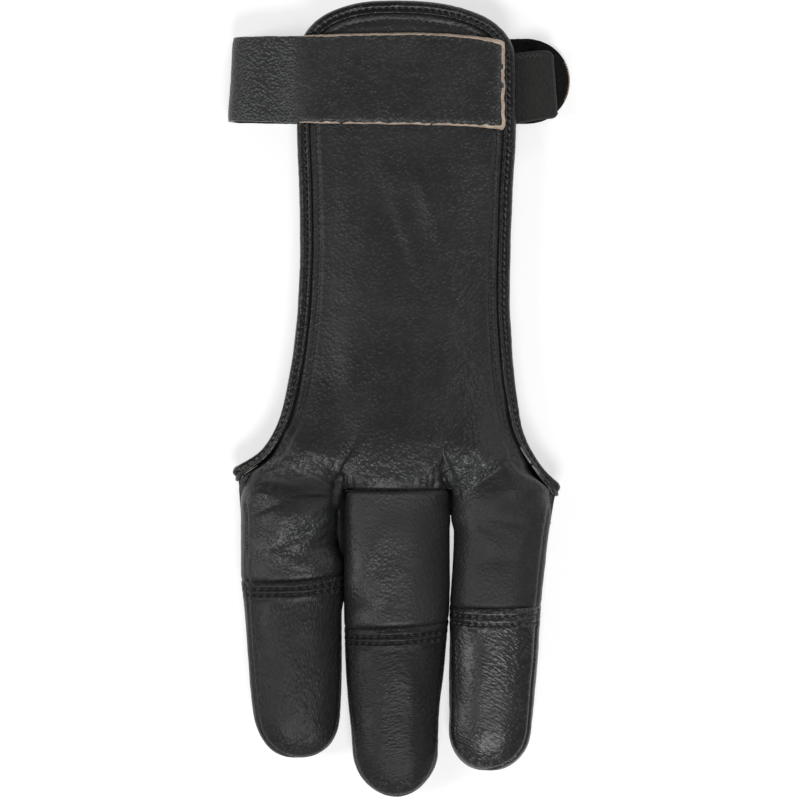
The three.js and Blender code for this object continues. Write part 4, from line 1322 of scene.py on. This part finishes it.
def make_binding():
    inside = LEATHER / 2 + 0.12
    outside = inside + BINDING_LEATHER
    upper = [
        (2.50, inside + 0.06),
        (2.62, inside + 0.34),
        (2.34, outside + 0.06),
        (1.85, outside + 0.14),
        (1.40, outside + 0.0),
        (BINDING_ROW, outside - 0.20),
        (0.70, outside + 0.02),
        (0.20, outside + 0.14),
        (-0.40, outside + 0.06),
        (-0.95, outside * 0.74),
        (-1.27, outside * 0.38),
        (-1.35, 0.0),
    ]
    lower = [(reach, -rise) for reach, rise in upper[-2::-1]]
    outer = spline(upper + lower, 3)
    lining = [(2.3, -inside), (1.0, -inside), (-0.45, -inside)]
    inner = np.array(lining + [(reach, -rise) for reach, rise in lining[::-1]])
    section = np.concatenate([outer, inner])
    skin_count = len(outer)
    stops = len(edge.point)
    pitch_turn = 2 * np.pi * edge.at / edge.length * round(edge.length / BINDING_PITCH)
    reach, rise = section[:, 0], section[:, 1]
    out_share = np.concatenate([np.ones(skin_count), np.zeros(len(inner))])
    sewn = bell(reach - BINDING_ROW, 0.36) * out_share * np.sign(rise)
    pillow = 0.10 - 0.34 * (0.5 - 0.5 * np.cos(pitch_turn)) ** 1.5
    height = rise[None] - LEATHER / 2 + sewn[None] * pillow[:, None]
    uneven = 0.07 * noise_over(edge.at / 1.7, 0, 51) + 0.10 * noise_over(edge.at / 9, 0, 52)
    roll = out_share[None] * uneven[:, None]
    roll = roll * ease(1.0 - reach, 0, 0.8)[None]
    radial = np.stack([reach, rise], axis=-1)
    radial = radial / np.maximum(np.linalg.norm(radial, axis=1, keepdims=True), 1e-6)
    reach_all = reach[None] + roll * np.where(radial[:, 0] < 0, radial[:, 0], 0)[None]
    height = height + roll * radial[:, 1][None]
    points = edge.point[:, None] + edge.inwards[:, None] * reach_all[..., None]
    points = (points + edge.up[:, None] * height[..., None]).reshape(-1, 3)
    points[:, 2] = np.maximum(points[:, 2], LOWEST)
    count = len(section)
    quads = grid_quads(stops + 1, count, wraps=True) % (stops * count)
    # The inner edge and the outer roll get a lighter colour: partly wear, partly painted highlight
    wear_and_highlight = (bell(reach - 2.25, 0.4) * 0.5 + bell(reach + 0.2, 0.6) * 0.3) * out_share
    wear_and_painted_light = np.clip(np.tile(wear_and_highlight, stops) * (0.4 + 0.6 * noise(points / 5.0, 53)), 0, 0.5)
    # The strip's cut edge shows pale beside the two corners.
    stop = np.minimum(quads[:, 0] // count, stops - 1)
    place = edge.point[stop]
    corner = ((place[:, 0] > 29) & (place[:, 1] < 13)) | ((place[:, 0] < -38) & (place[:, 1] < 9))
    shown = noise_over(edge.at / 1.6, 0, 54)[stop] > -0.35
    cut = corner & shown & edge_on_back[stop] & (quads[:, 0] % count < 4)
    piece("edge_binding_leather", points, outward(points, quads), [binding_leather, rubbed_edge],
          ["edge_binding"], cut, wear_and_painted_light, sharp=60)
    number = round(edge.length / BINDING_PITCH)
    at = (np.arange(number) + 0.5) / number * edge.length
    centres, alongs, ups = [], [], []
    for sign in (1, -1):
        line = edge.point + edge.inwards * BINDING_ROW + edge.up * (sign * (outside - 0.34) - LEATHER / 2)
        for made, values in ((centres, line), (alongs, edge.along), (ups, edge.up * sign)):
            made.append(sampled(values, edge.at, at, edge.length))
    centres, alongs, ups = (np.concatenate(part) for part in (centres, alongs, ups))
    light = (centres[:, 0] < -33) & (centres[:, 1] < 13) & (centres[:, 1] > LEFT_CORNER - 2) & (ups[:, 2] > 0)
    for part, thread, chosen in (("stitches", black_thread, ~light), ("light_stitches", pale_thread, light)):
        stitches(f"edge_binding_{part}", centres[chosen], alongs[chosen], ups[chosen],
                 STITCH_LENGTH, STITCH_RADIUS, thread, tilt=0.06)


def make_back_stitches(skin, quads):
    """The inner row of stitches, on the panel beside the binding."""
    tree = BVHTree.FromPolygons([Vector(point) for point in skin], quads.tolist())
    wanted = edge_on_back & (edge.point[:, 1] > 9)
    runs = [[]]
    for place, use in zip(edge.point + edge.inwards * INNER_ROW, wanted):
        hit = tree.ray_cast(Vector((place[0], place[1], 60)), Vector((0, 0, -1))) if use else (None,)
        if hit[0] is None:
            runs.append([])
        else:
            runs[-1].append((hit[0][:], hit[1][:]))
    rows = []
    for run in runs:
        if len(run) <= 8:
            continue
        spots, normals = (np.array(part) for part in zip(*run))
        normals = np.where(normals[:, 2:] > 0, normals, -normals)
        gone = lengths_along(spots)
        at = np.arange(BINDING_PITCH / 2, gone[-1], BINDING_PITCH)
        along = sampled(spots, gone, at + 0.4) - sampled(spots, gone, at - 0.4)
        rows.append((sampled(spots, gone, at), along, sampled(normals, gone, at)))
    centres, alongs, ups = (np.concatenate(part) for part in zip(*rows))
    stitches("back_inner_stitches", centres, alongs, ups, 1.3, 0.19, brown_thread, tilt=0.1)


# The wrist strap


def path_frame(xs, zs):
    """A path in the XZ plane: its points, unit directions square to it, and how far along it each stop is."""
    line = np.stack([xs, 0 * xs, zs], axis=-1)
    dx, dz = np.gradient(xs), np.gradient(zs)
    return line[:, None], unit(np.stack([-dz, 0 * dx, dx], axis=-1))[:, None], lengths_along(line)


def fold_path(x, reach, upper, lower, sign, power, count):
    """The stops of a fold between an upper and a lower run."""
    turn = np.pi * np.arange(1, count) / count
    xs = x + sign * reach * powered(np.sin(turn), power)
    zs = (upper + lower) / 2 + (upper - lower) / 2 * powered(np.cos(turn), power)
    return xs, zs


def even(xs, zs, step):
    """The same path with its stops an even step apart."""
    gone = lengths_along(np.stack([xs, zs], axis=-1))
    at = np.linspace(0, gone[-1], int(gone[-1] / step) + 1)
    return np.interp(at, gone, xs), np.interp(at, gone, zs)


def strap_path():
    """The strap's middle line: over the back from its sewn end, round the fold and back under the wrist."""
    upper_x = np.linspace(STRAP_END, FOLD_START, 160)
    upper_z = STRAP_TOP + np.interp(upper_x, STRAP_SETTLING["x"], STRAP_SETTLING["z"])
    reach = STRAP_REACH - STRAP_LEATHER / 2 + FOLD_START
    fold_x, fold_z = fold_path(FOLD_START, reach, STRAP_TOP - 2.7, STRAP_LOW, -1, 2.6, 90)
    lower_x = np.linspace(FOLD_START, STRAP_REACH - 0.03, 150)
    xs = np.concatenate([upper_x, fold_x, lower_x])
    zs = np.concatenate([upper_z, fold_z, np.full(150, STRAP_LOW)])
    smooth = np.convolve(np.pad(zs, 6, mode="edge"), np.ones(13) / 13, mode="valid")
    before_fold = (np.arange(len(xs)) < 230) & (xs > -47)
    return even(xs, np.where(before_fold, smooth, zs), 0.5)


def make_strap():
    xs, zs = strap_path()
    line, square, gone = path_frame(xs, zs)
    total = gone[-1]
    is_lower = (gone > total / 2) & (zs < 4)
    left = np.minimum((STRAP_REACH - xs) / STRAP_RADIUS, 1)
    round_end = np.where(is_lower, np.sqrt(np.clip(1 - (1 - left) ** 2, 0.0004, 1)), 1)
    low_wobble = 0.16 * noise_over(gone / 5, 0, 61) + 0.07 * noise_over(gone / 1.3, 0, 62)
    high_wobble = 0.16 * noise_over(gone / 6, 5, 63) + 0.08 * noise_over(gone / 1.1, 5, 64)
    low = STRAP_PLACE + (STRAP_WIDTH * read(STRAP_SECTIONS, "low", gone / total) + low_wobble) * round_end
    high = STRAP_PLACE + (STRAP_WIDTH * read(STRAP_SECTIONS, "high", gone / total) + high_wobble) * round_end
    # How much of the pale cut edge shows beside the grain: most at the sewn end, little past the fold.
    sewn = 1 - ease(gone, 50, 64)
    ragged = noise_over(gone / 2.2, 9, 65)
    torn = 0.7 * np.exp(-gone / 2.0)
    pale_high = mix(0.04, 0.62 + 0.5 * np.exp(-gone / 12) + torn + 0.2 * ragged, sewn)
    pale_low = mix(0.04, 0.3 + 0.4 * np.exp(-gone / 10) + torn + 0.5 * ragged, sewn)
    pale_high, pale_low = np.clip(pale_high, 0.02, 1.9), np.clip(pale_low, 0.02, 1.7)

    def profile(side, pale, inwards):
        """The columns of one edge, from its cut face to the grain: where each lies, and how deep."""
        return [
            (side + inwards * 0.12, STRAP_LEATHER * 0.97),
            (side, STRAP_LEATHER * 0.72),
            (side + inwards * 0.35 * pale * round_end, STRAP_LEATHER * 0.40),
            (side + inwards * 0.8 * pale * round_end, 0.26),
            (side + inwards * (pale + 0.10) * round_end, 0.10),
        ]

    flat_low, flat_high = low + (pale_low + 0.45) * round_end, high - (pale_high + 0.45) * round_end
    flat = [(mix(flat_low, flat_high, share), 0.0) for share in np.linspace(0, 1, 46)]
    columns = profile(low, pale_low, 1) + flat + profile(high, pale_high, -1)[::-1]
    ys = np.stack([place for place, _ in columns], axis=1)
    drops = np.array([drop for _, drop in columns]) + 0 * ys
    # The sewn end is skived to a long pale slope.
    end = ys[0]
    from_corner = np.minimum(end - end.min(), end.max() - end)
    slope = 1.15 + 0.4 * noise_over(0, end / 4, 66) + 0.1 * noise_over(0, end / 1.8, 67)
    slope = slope + 1.3 * np.exp(-from_corner / 1.5)
    far = gone[:, None]
    end_drop = np.clip(1 - far / slope, 0, 1)
    drops = np.maximum(drops, 1.05 * end_drop + 0.12 * bell(far - slope, 0.25))
    # Beside the pale edges the grain sinks a little.
    inner_low, inner_high = (low + pale_low + 0.1)[:, None], (high - pale_high - 0.1)[:, None]
    for inside in (ys - inner_low, inner_high - ys, far - slope - 0.1):
        drops = drops + np.where(inside > 0, 0.2 * bell(inside, 0.8), 0)
    # The cut across the sewn end is a little uneven, with rounded corners.
    moved = 0.42 * noise_over(0, ys / 3.4, 68) * bell(far, 2.2)
    moved += 0.18 * noise_over(0, ys / 1.2, 73) * bell(far, 1.2)
    from_side = np.minimum(ys - ys[:, :1], ys[:, -1:] - ys)
    moved -= 0.7 * np.clip(1 - from_side / 0.8, 0, 1) ** 2 * bell(far, 0.9)
    # The fold at the far end leans, so that its lower corner reaches further out.
    moved = moved - 1.6 * (STRAP_PLACE - ys) / STRAP_WIDTH * ease(-xs, 34, 48)[:, None]
    top = line - square * (STRAP_LEATHER / 2 - drops)[..., None]
    under = line + square * (STRAP_LEATHER / 2 + 0 * drops)[..., None]
    for skin in (top, under):
        skin[..., 0] += moved
        skin[..., 1] = ys
    ripple = 0.13 * noise(top / np.array([8.0, 11.0, 9.0]), 69) + 0.07 * noise(top / 2.8, 70)
    ripple = ripple * (1 - end_drop) * ease(STRAP_LEATHER * 0.3 - drops, 0, 0.3)
    top -= square * ripple[..., None]
    points, faces = two_skins(top, under)
    points[:, 2] = np.maximum(points[:, 2], 0.02)
    rows, count = ys.shape
    quads = faces[: (rows - 1) * (count - 1)]
    rim = faces[2 * len(quads) :, 1]
    row, column = quads[:, 0] // count, quads[:, 0] % count
    is_pale = ((column < 4) & (pale_low[row] > 0.1)) | ((column >= count - 5) & (pale_high[row] > 0.1))
    is_pale = is_pale | (gone[np.minimum(row + 1, rows - 1)] < slope[column] * 0.93)
    is_bare = (gone[rim // count] < 60) | (points[rim, 0] > STRAP_REACH - 1.2)
    sides = np.concatenate([is_pale.astype(int), np.full(len(quads), 2), is_bare.astype(int)])
    # Wear at the sewn end and beside the pale edges; past x = -30 the strap is painted lighter as a painted
    # highlight where it slopes down to its fold
    wear_and_highlight = (0.2 * bell(far, 4.0) + 0.22 * (drops > 0.05)) * (1 + noise(top / 2.0, 71))
    wear_and_highlight = np.clip(wear_and_highlight + 0.32 * ease(-top[..., 0], 29.5, 31.5), 0, 0.5).ravel()
    wear_and_painted_light = np.concatenate([wear_and_highlight, np.zeros(len(wear_and_highlight))])
    piece("wrist_strap_leather", points, outward(points, faces), [strap_leather, raw_edge, flesh_side],
          ["wrist_strap"], sides, wear_and_painted_light, sharp=50)


def make_strap_fibres():
    """Torn pale fibres, which show in short pieces along the middle of the strap's rounded end."""
    turn = np.linspace(-0.46, 0.46, 15)
    out = np.stack([np.cos(turn), np.sin(turn), 0 * turn], axis=-1)
    centre = np.array([STRAP_REACH - STRAP_RADIUS, STRAP_PLACE, STRAP_LEATHER + 0.05])
    centres = centre + out * (STRAP_RADIUS - 0.2)
    alongs = np.stack([-np.sin(turn), np.cos(turn), 0 * turn], axis=-1)
    ups = out * 0.3 + np.array([0, 0, 1.0])
    stitches("strap_end_fibres", centres, alongs, ups, 0.62, 0.26, raw_edge)


# The loop pad, the elastic and the hook pad


def ribbon(xs, zs, place, half_width, thickness, across, shape, shift=None):
    """A closed band along a path: two skins with relief, joined round their edges."""
    line, square, gone = path_frame(xs, zs)
    shares = np.linspace(0, 1, across)[None]
    half_width = np.broadcast_to(half_width, len(xs))[:, None]
    skins = []
    for sign in (1, -1):
        half = thickness / 2 + shape(gone[:, None], shares, sign)
        skin = line + square * (half * sign)[..., None]
        skin[..., 1] = mix(place - half_width, place + half_width, shares)
        skins.append(skin if shift is None else skin + shift(skin))
    points, faces = two_skins(*skins)
    return points, outward(points, faces)


def edge_round(shares, width, radius, thickness):
    """How much thinner a band is near its two side edges."""
    near = np.minimum(shares, 1 - shares) * width
    return -thickness / 2 * (1 - np.sqrt(np.clip(1 - (1 - np.clip(near / radius, 0, 1)) ** 2, 0.12, 1)))


def make_loop_pad():
    end = STRAP_REACH - PAD_MARGIN
    radius = STRAP_RADIUS - PAD_MARGIN
    straight = np.linspace(end - PAD_LENGTH, end - radius, 120, endpoint=False)
    turn = np.linspace(0, 1, 60) * math.pi / 2
    xs = np.concatenate([straight, end - radius + radius * np.sin(turn)])
    half = radius * np.sqrt(1 - np.clip((xs - end + radius) / radius, 0, 0.9995) ** 2)
    zs = np.full(len(xs), LOOP_HEIGHT - 0.12)

    def pile(gone, shares, sign):
        along, aside = gone / 0.55, shares * 24 / 0.55
        tufts = noise_over(along, aside, 81) * 0.16 + noise_over(along * 2.1, aside * 2.1, 82) * 0.08
        return (tufts if sign > 0 else 0) - 0.06 + 0 * shares

    points, faces = ribbon(xs, zs, STRAP_PLACE, half, PAD_LEATHER - 0.3, 80, pile)
    piece("strap_loop_pile", points, faces, [loop_yarn], ["strap_loop_pad"])
    random = np.random.default_rng(7)
    number = 1200
    spots = []
    while sum(len(s) for s in spots) < number:
        x = random.uniform(36, end, number)
        y = random.uniform(-radius, radius, number)
        keep = (x < end - radius) | (np.hypot(x - end + radius, y) < radius - 0.1)
        spots.append(np.stack([x[keep], y[keep] + STRAP_PLACE], axis=-1))
    spots = np.concatenate(spots)[:number]
    turn = random.uniform(0, 2 * np.pi, number)
    along = np.stack([np.cos(turn), np.sin(turn), np.zeros(number)], axis=-1)
    centres = np.concatenate([spots, 3.02 + random.uniform(-0.08, 0.12, (number, 1))], axis=1)
    lean_x, lean_y = random.uniform(-0.4, 0.4, number), random.uniform(-0.4, 0.4, number)
    ups = np.stack([lean_x, lean_y, np.ones(number)], axis=-1)
    stitches("strap_loop_fibres", centres, along, ups, 0.75, 0.055, loop_yarn, sides=4)


def make_elastic():
    bottom = WRIST_HEIGHT - WRIST_DROP - LEATHER - CLEARANCE - BINDING_LEATHER - 0.4
    upper = bottom - CLEARANCE - ELASTIC_THICKNESS / 2
    lower = HOOK_HEIGHT + HOOK_THICKNESS / 2 + CLEARANCE + ELASTIC_THICKNESS / 2
    sewn = WRIST_HEIGHT - WRIST_DROP - LEATHER - CLEARANCE - ELASTIC_THICKNESS / 2
    step_end = BACK_SHIFT + BACK_WIDTH / 2 - BINDING_REACH
    reach = (upper - lower) * 0.9
    turn = ELASTIC_REACH - ELASTIC_THICKNESS / 2 - reach
    start_x = np.array([ELASTIC_START, mix(ELASTIC_START, step_end, 0.4), step_end, step_end + 3, turn])
    start_z = np.array([sewn, sewn, upper, upper, upper])
    fold_x, fold_z = fold_path(turn, reach, upper, lower, 1, 2, 60)
    xs = np.concatenate([start_x, fold_x, [turn, ELASTIC_RETURN]])
    zs = np.concatenate([start_z, fold_z, [lower, lower]])
    xs, zs = even(xs, zs, 0.2)
    half = ELASTIC_WIDTH / 2

    def ribs(gone, shares, sign):
        near = np.minimum(shares, 1 - shares) * ELASTIC_WIDTH
        selvedge = 1 - ease(near, 1.3, 2.0)
        cross = np.cos(gone / 0.86 * 2 * np.pi)
        yarns = np.cos(shares * ELASTIC_WIDTH / 0.62 * 2 * np.pi + np.pi * np.floor(gone / 0.86))
        fuzz = noise_over(gone / 0.75, shares * ELASTIC_WIDTH / 0.75, 91)
        ribbed = 1 - 0.6 * ease(gone, 11, 16)
        plain = 0.085 * cross * ribbed + 0.05 * yarns * (0.5 + 0.5 * cross) + 0.10 * fuzz
        bound = 0.05 + 0.13 * np.cos(gone / 1.05 * 2 * np.pi + near * 3.4)
        return mix(plain, bound, selvedge) + edge_round(shares, ELASTIC_WIDTH, 0.55, ELASTIC_THICKNESS) - 0.06

    def lean(skin):
        """The band runs a little askew: it rises to the right, and its fold leans with it."""
        far = ease(skin[..., 0], 28, 46)
        share = (skin[..., 1] - ELASTIC_PLACE) / half
        moved = np.zeros_like(skin)
        moved[..., 1] = 1.15 * far - (1 - share) / 2 * (1 - far) * ease(skin[..., 0], 20, 30)
        rounded = np.clip((np.abs(share) - 0.82) / 0.18, 0, 1) ** 2
        moved[..., 0] = (-0.75 * share - 0.55 - 1.2 * rounded) * far
        return moved

    points, faces = ribbon(xs, zs, ELASTIC_PLACE, half, ELASTIC_THICKNESS, 60, ribs, lean)
    piece("elastic_webbing", points, faces, [elastic_yarn], ["elastic_band"], sharp=70)
    # The far selvedge is overcast with a thread that goes to and fro.
    x = np.arange(33.2, 41.8, 0.72)
    y = ELASTIC_PLACE + half - 1.1 + 1.15 * ease(x, 28, 46)
    centres = np.stack([x, y, 0 * x + upper + ELASTIC_THICKNESS / 2 + 0.1], axis=-1)
    alongs = np.stack([0 * x + 0.5, np.where(np.arange(len(x)) % 2, 0.85, -0.85), 0 * x], axis=-1)
    ups = np.tile([0, 0, 1.0], (len(x), 1))
    stitches("elastic_selvedge_thread", centres, alongs, ups, 1.35, 0.11, selvedge_thread)


def make_hook_pad():
    start = ELASTIC_RETURN + PAD_MARGIN
    half = ELASTIC_WIDTH / 2 - PAD_MARGIN
    xs = np.linspace(start, start + HOOK_LENGTH, 60)
    zs = np.full(60, HOOK_HEIGHT + 0.2)

    def weave(gone, shares, sign):
        return 0.03 * np.cos(gone / 0.7 * 2 * np.pi) * np.cos(shares * 24 * 2 * np.pi)

    points, faces = ribbon(xs, zs, ELASTIC_PLACE, half, HOOK_THICKNESS - 0.5, 50, weave)
    piece("elastic_hook_tape", points, faces, [hook_plastic], ["elastic_hook_pad"])
    x, y = np.meshgrid(np.arange(start + 0.9, start + HOOK_LENGTH - 0.5, 1.1),
                       np.arange(ELASTIC_PLACE - half + 0.9, ELASTIC_PLACE + half - 0.5, 1.0), indexing="ij")
    x = x + (np.arange(y.shape[1]) % 2) * 0.5
    centres = np.stack([x.ravel(), y.ravel(), np.full(x.size, HOOK_HEIGHT - 0.22)], axis=-1)
    alongs = np.tile([1.0, 0.25, 0.0], (len(centres), 1))
    ups = np.tile([0.0, 0.0, -1.0], (len(centres), 1))
    stitches("elastic_hooks", centres, alongs, ups, 0.62, 0.1, hook_plastic, sides=5)


def make_knuckle_stitches():
    xs = np.arange(MIDDLE["x"] - 14.2, MIDDLE["x"] + 14.3, 1.9)
    across = np.arccos(np.clip((MIDDLE["x"] - xs) * 2 / MIDDLE["width"], -1, 1)) / np.pi
    spots = back_point(MIDDLE, across, np.zeros(len(xs)))
    spots[:, 2] -= 0.85
    alongs = np.gradient(spots, axis=0)
    ups = np.tile([0.0, 0.0, 1.0], (len(xs), 1))
    stitches("knuckle_seam_stitches", spots, alongs, ups, 1.3, 0.2, black_thread)


# Floor, lights and camera


def stage_floor():
    mesh = bpy.data.meshes.new("floor")
    corners = [(-3.0, -3.0, 0), (3.0, -3.0, 0), (3.0, 3.0, 0), (-3.0, 3.0, 0)]
    mesh.from_pydata(corners, [], [(0, 1, 2, 3)])
    floor = add_object("floor", mesh)
    n = Nodes("pale floor")
    tone = n.noise(n.mapped(40), 2.0)
    mesh.materials.append(n.finish(n.blend(tone, (0.60, 0.60, 0.60), (0.64, 0.64, 0.64)), 0.9, level=0.1))
    n.shader.inputs["Emission Color"].default_value = (1, 1, 1, 1)
    n.shader.inputs["Emission Strength"].default_value = 0.58


def lamp(name, place, size, power, color=(1, 1, 1)):
    data = bpy.data.lights.new(name, "AREA")
    data.shape = "RECTANGLE"
    data.size, data.size_y = size
    data.energy = power
    data.color = color
    made = add_object(name, data)
    made.location = place
    made.rotation_euler = (Vector((0, 0, 0.01)) - Vector(place)).to_track_quat("-Z", "Y").to_euler()


def lights():
    world = bpy.data.worlds.new("studio")
    bpy.context.scene.world = world
    world.use_nodes = True
    world.node_tree.nodes["Background"].inputs[0].default_value = (1, 1, 1, 1)
    world.node_tree.nodes["Background"].inputs[1].default_value = 0.15
    lamp("front soft box", (0.05, -0.64, 1.0), (0.42, 0.34), 6.6)
    lamp("left soft box", (-0.85, -0.1, 0.85), (0.24, 0.6), 4.4)
    lamp("right soft box", (0.95, 0.3, 0.8), (0.3, 0.6), 2)
    lamp("far soft box", (0.5, 0.95, 0.7), (0.4, 0.2), 1.8)


PHOTO_HEIGHT = 800
PIXELS_PER_MILLIMETRE = 3.43


def photo_camera():
    view_height = PHOTO_HEIGHT / PIXELS_PER_MILLIMETRE / 1000
    lens, sensor = 200, 36
    data = bpy.data.cameras.new("camera")
    data.lens, data.sensor_width = lens, sensor
    data.clip_start, data.clip_end = 0.05, 20
    made = add_object("camera", data)
    centre = (np.array([-0.15, 26.2, 0]) + SHIFT) / 1000
    made.location = (centre[0], centre[1], 0.010 + view_height * lens / sensor)
    bpy.context.scene.camera = made


photo_camera()
lights()
stage_floor()
back_skin, back_quads = make_back()
make_middle_back()
make_palm()
for cap_name, cap_finger in (("ring", RING), ("middle", MIDDLE), ("index", INDEX)):
    make_cap(cap_name, cap_finger)
make_binding()
make_back_stitches(back_skin, back_quads)
make_knuckle_stitches()
make_strap()
make_strap_fibres()
make_loop_pad()
make_elastic()
make_hook_pad()
bpy.context.scene.view_settings.view_transform = "Standard"
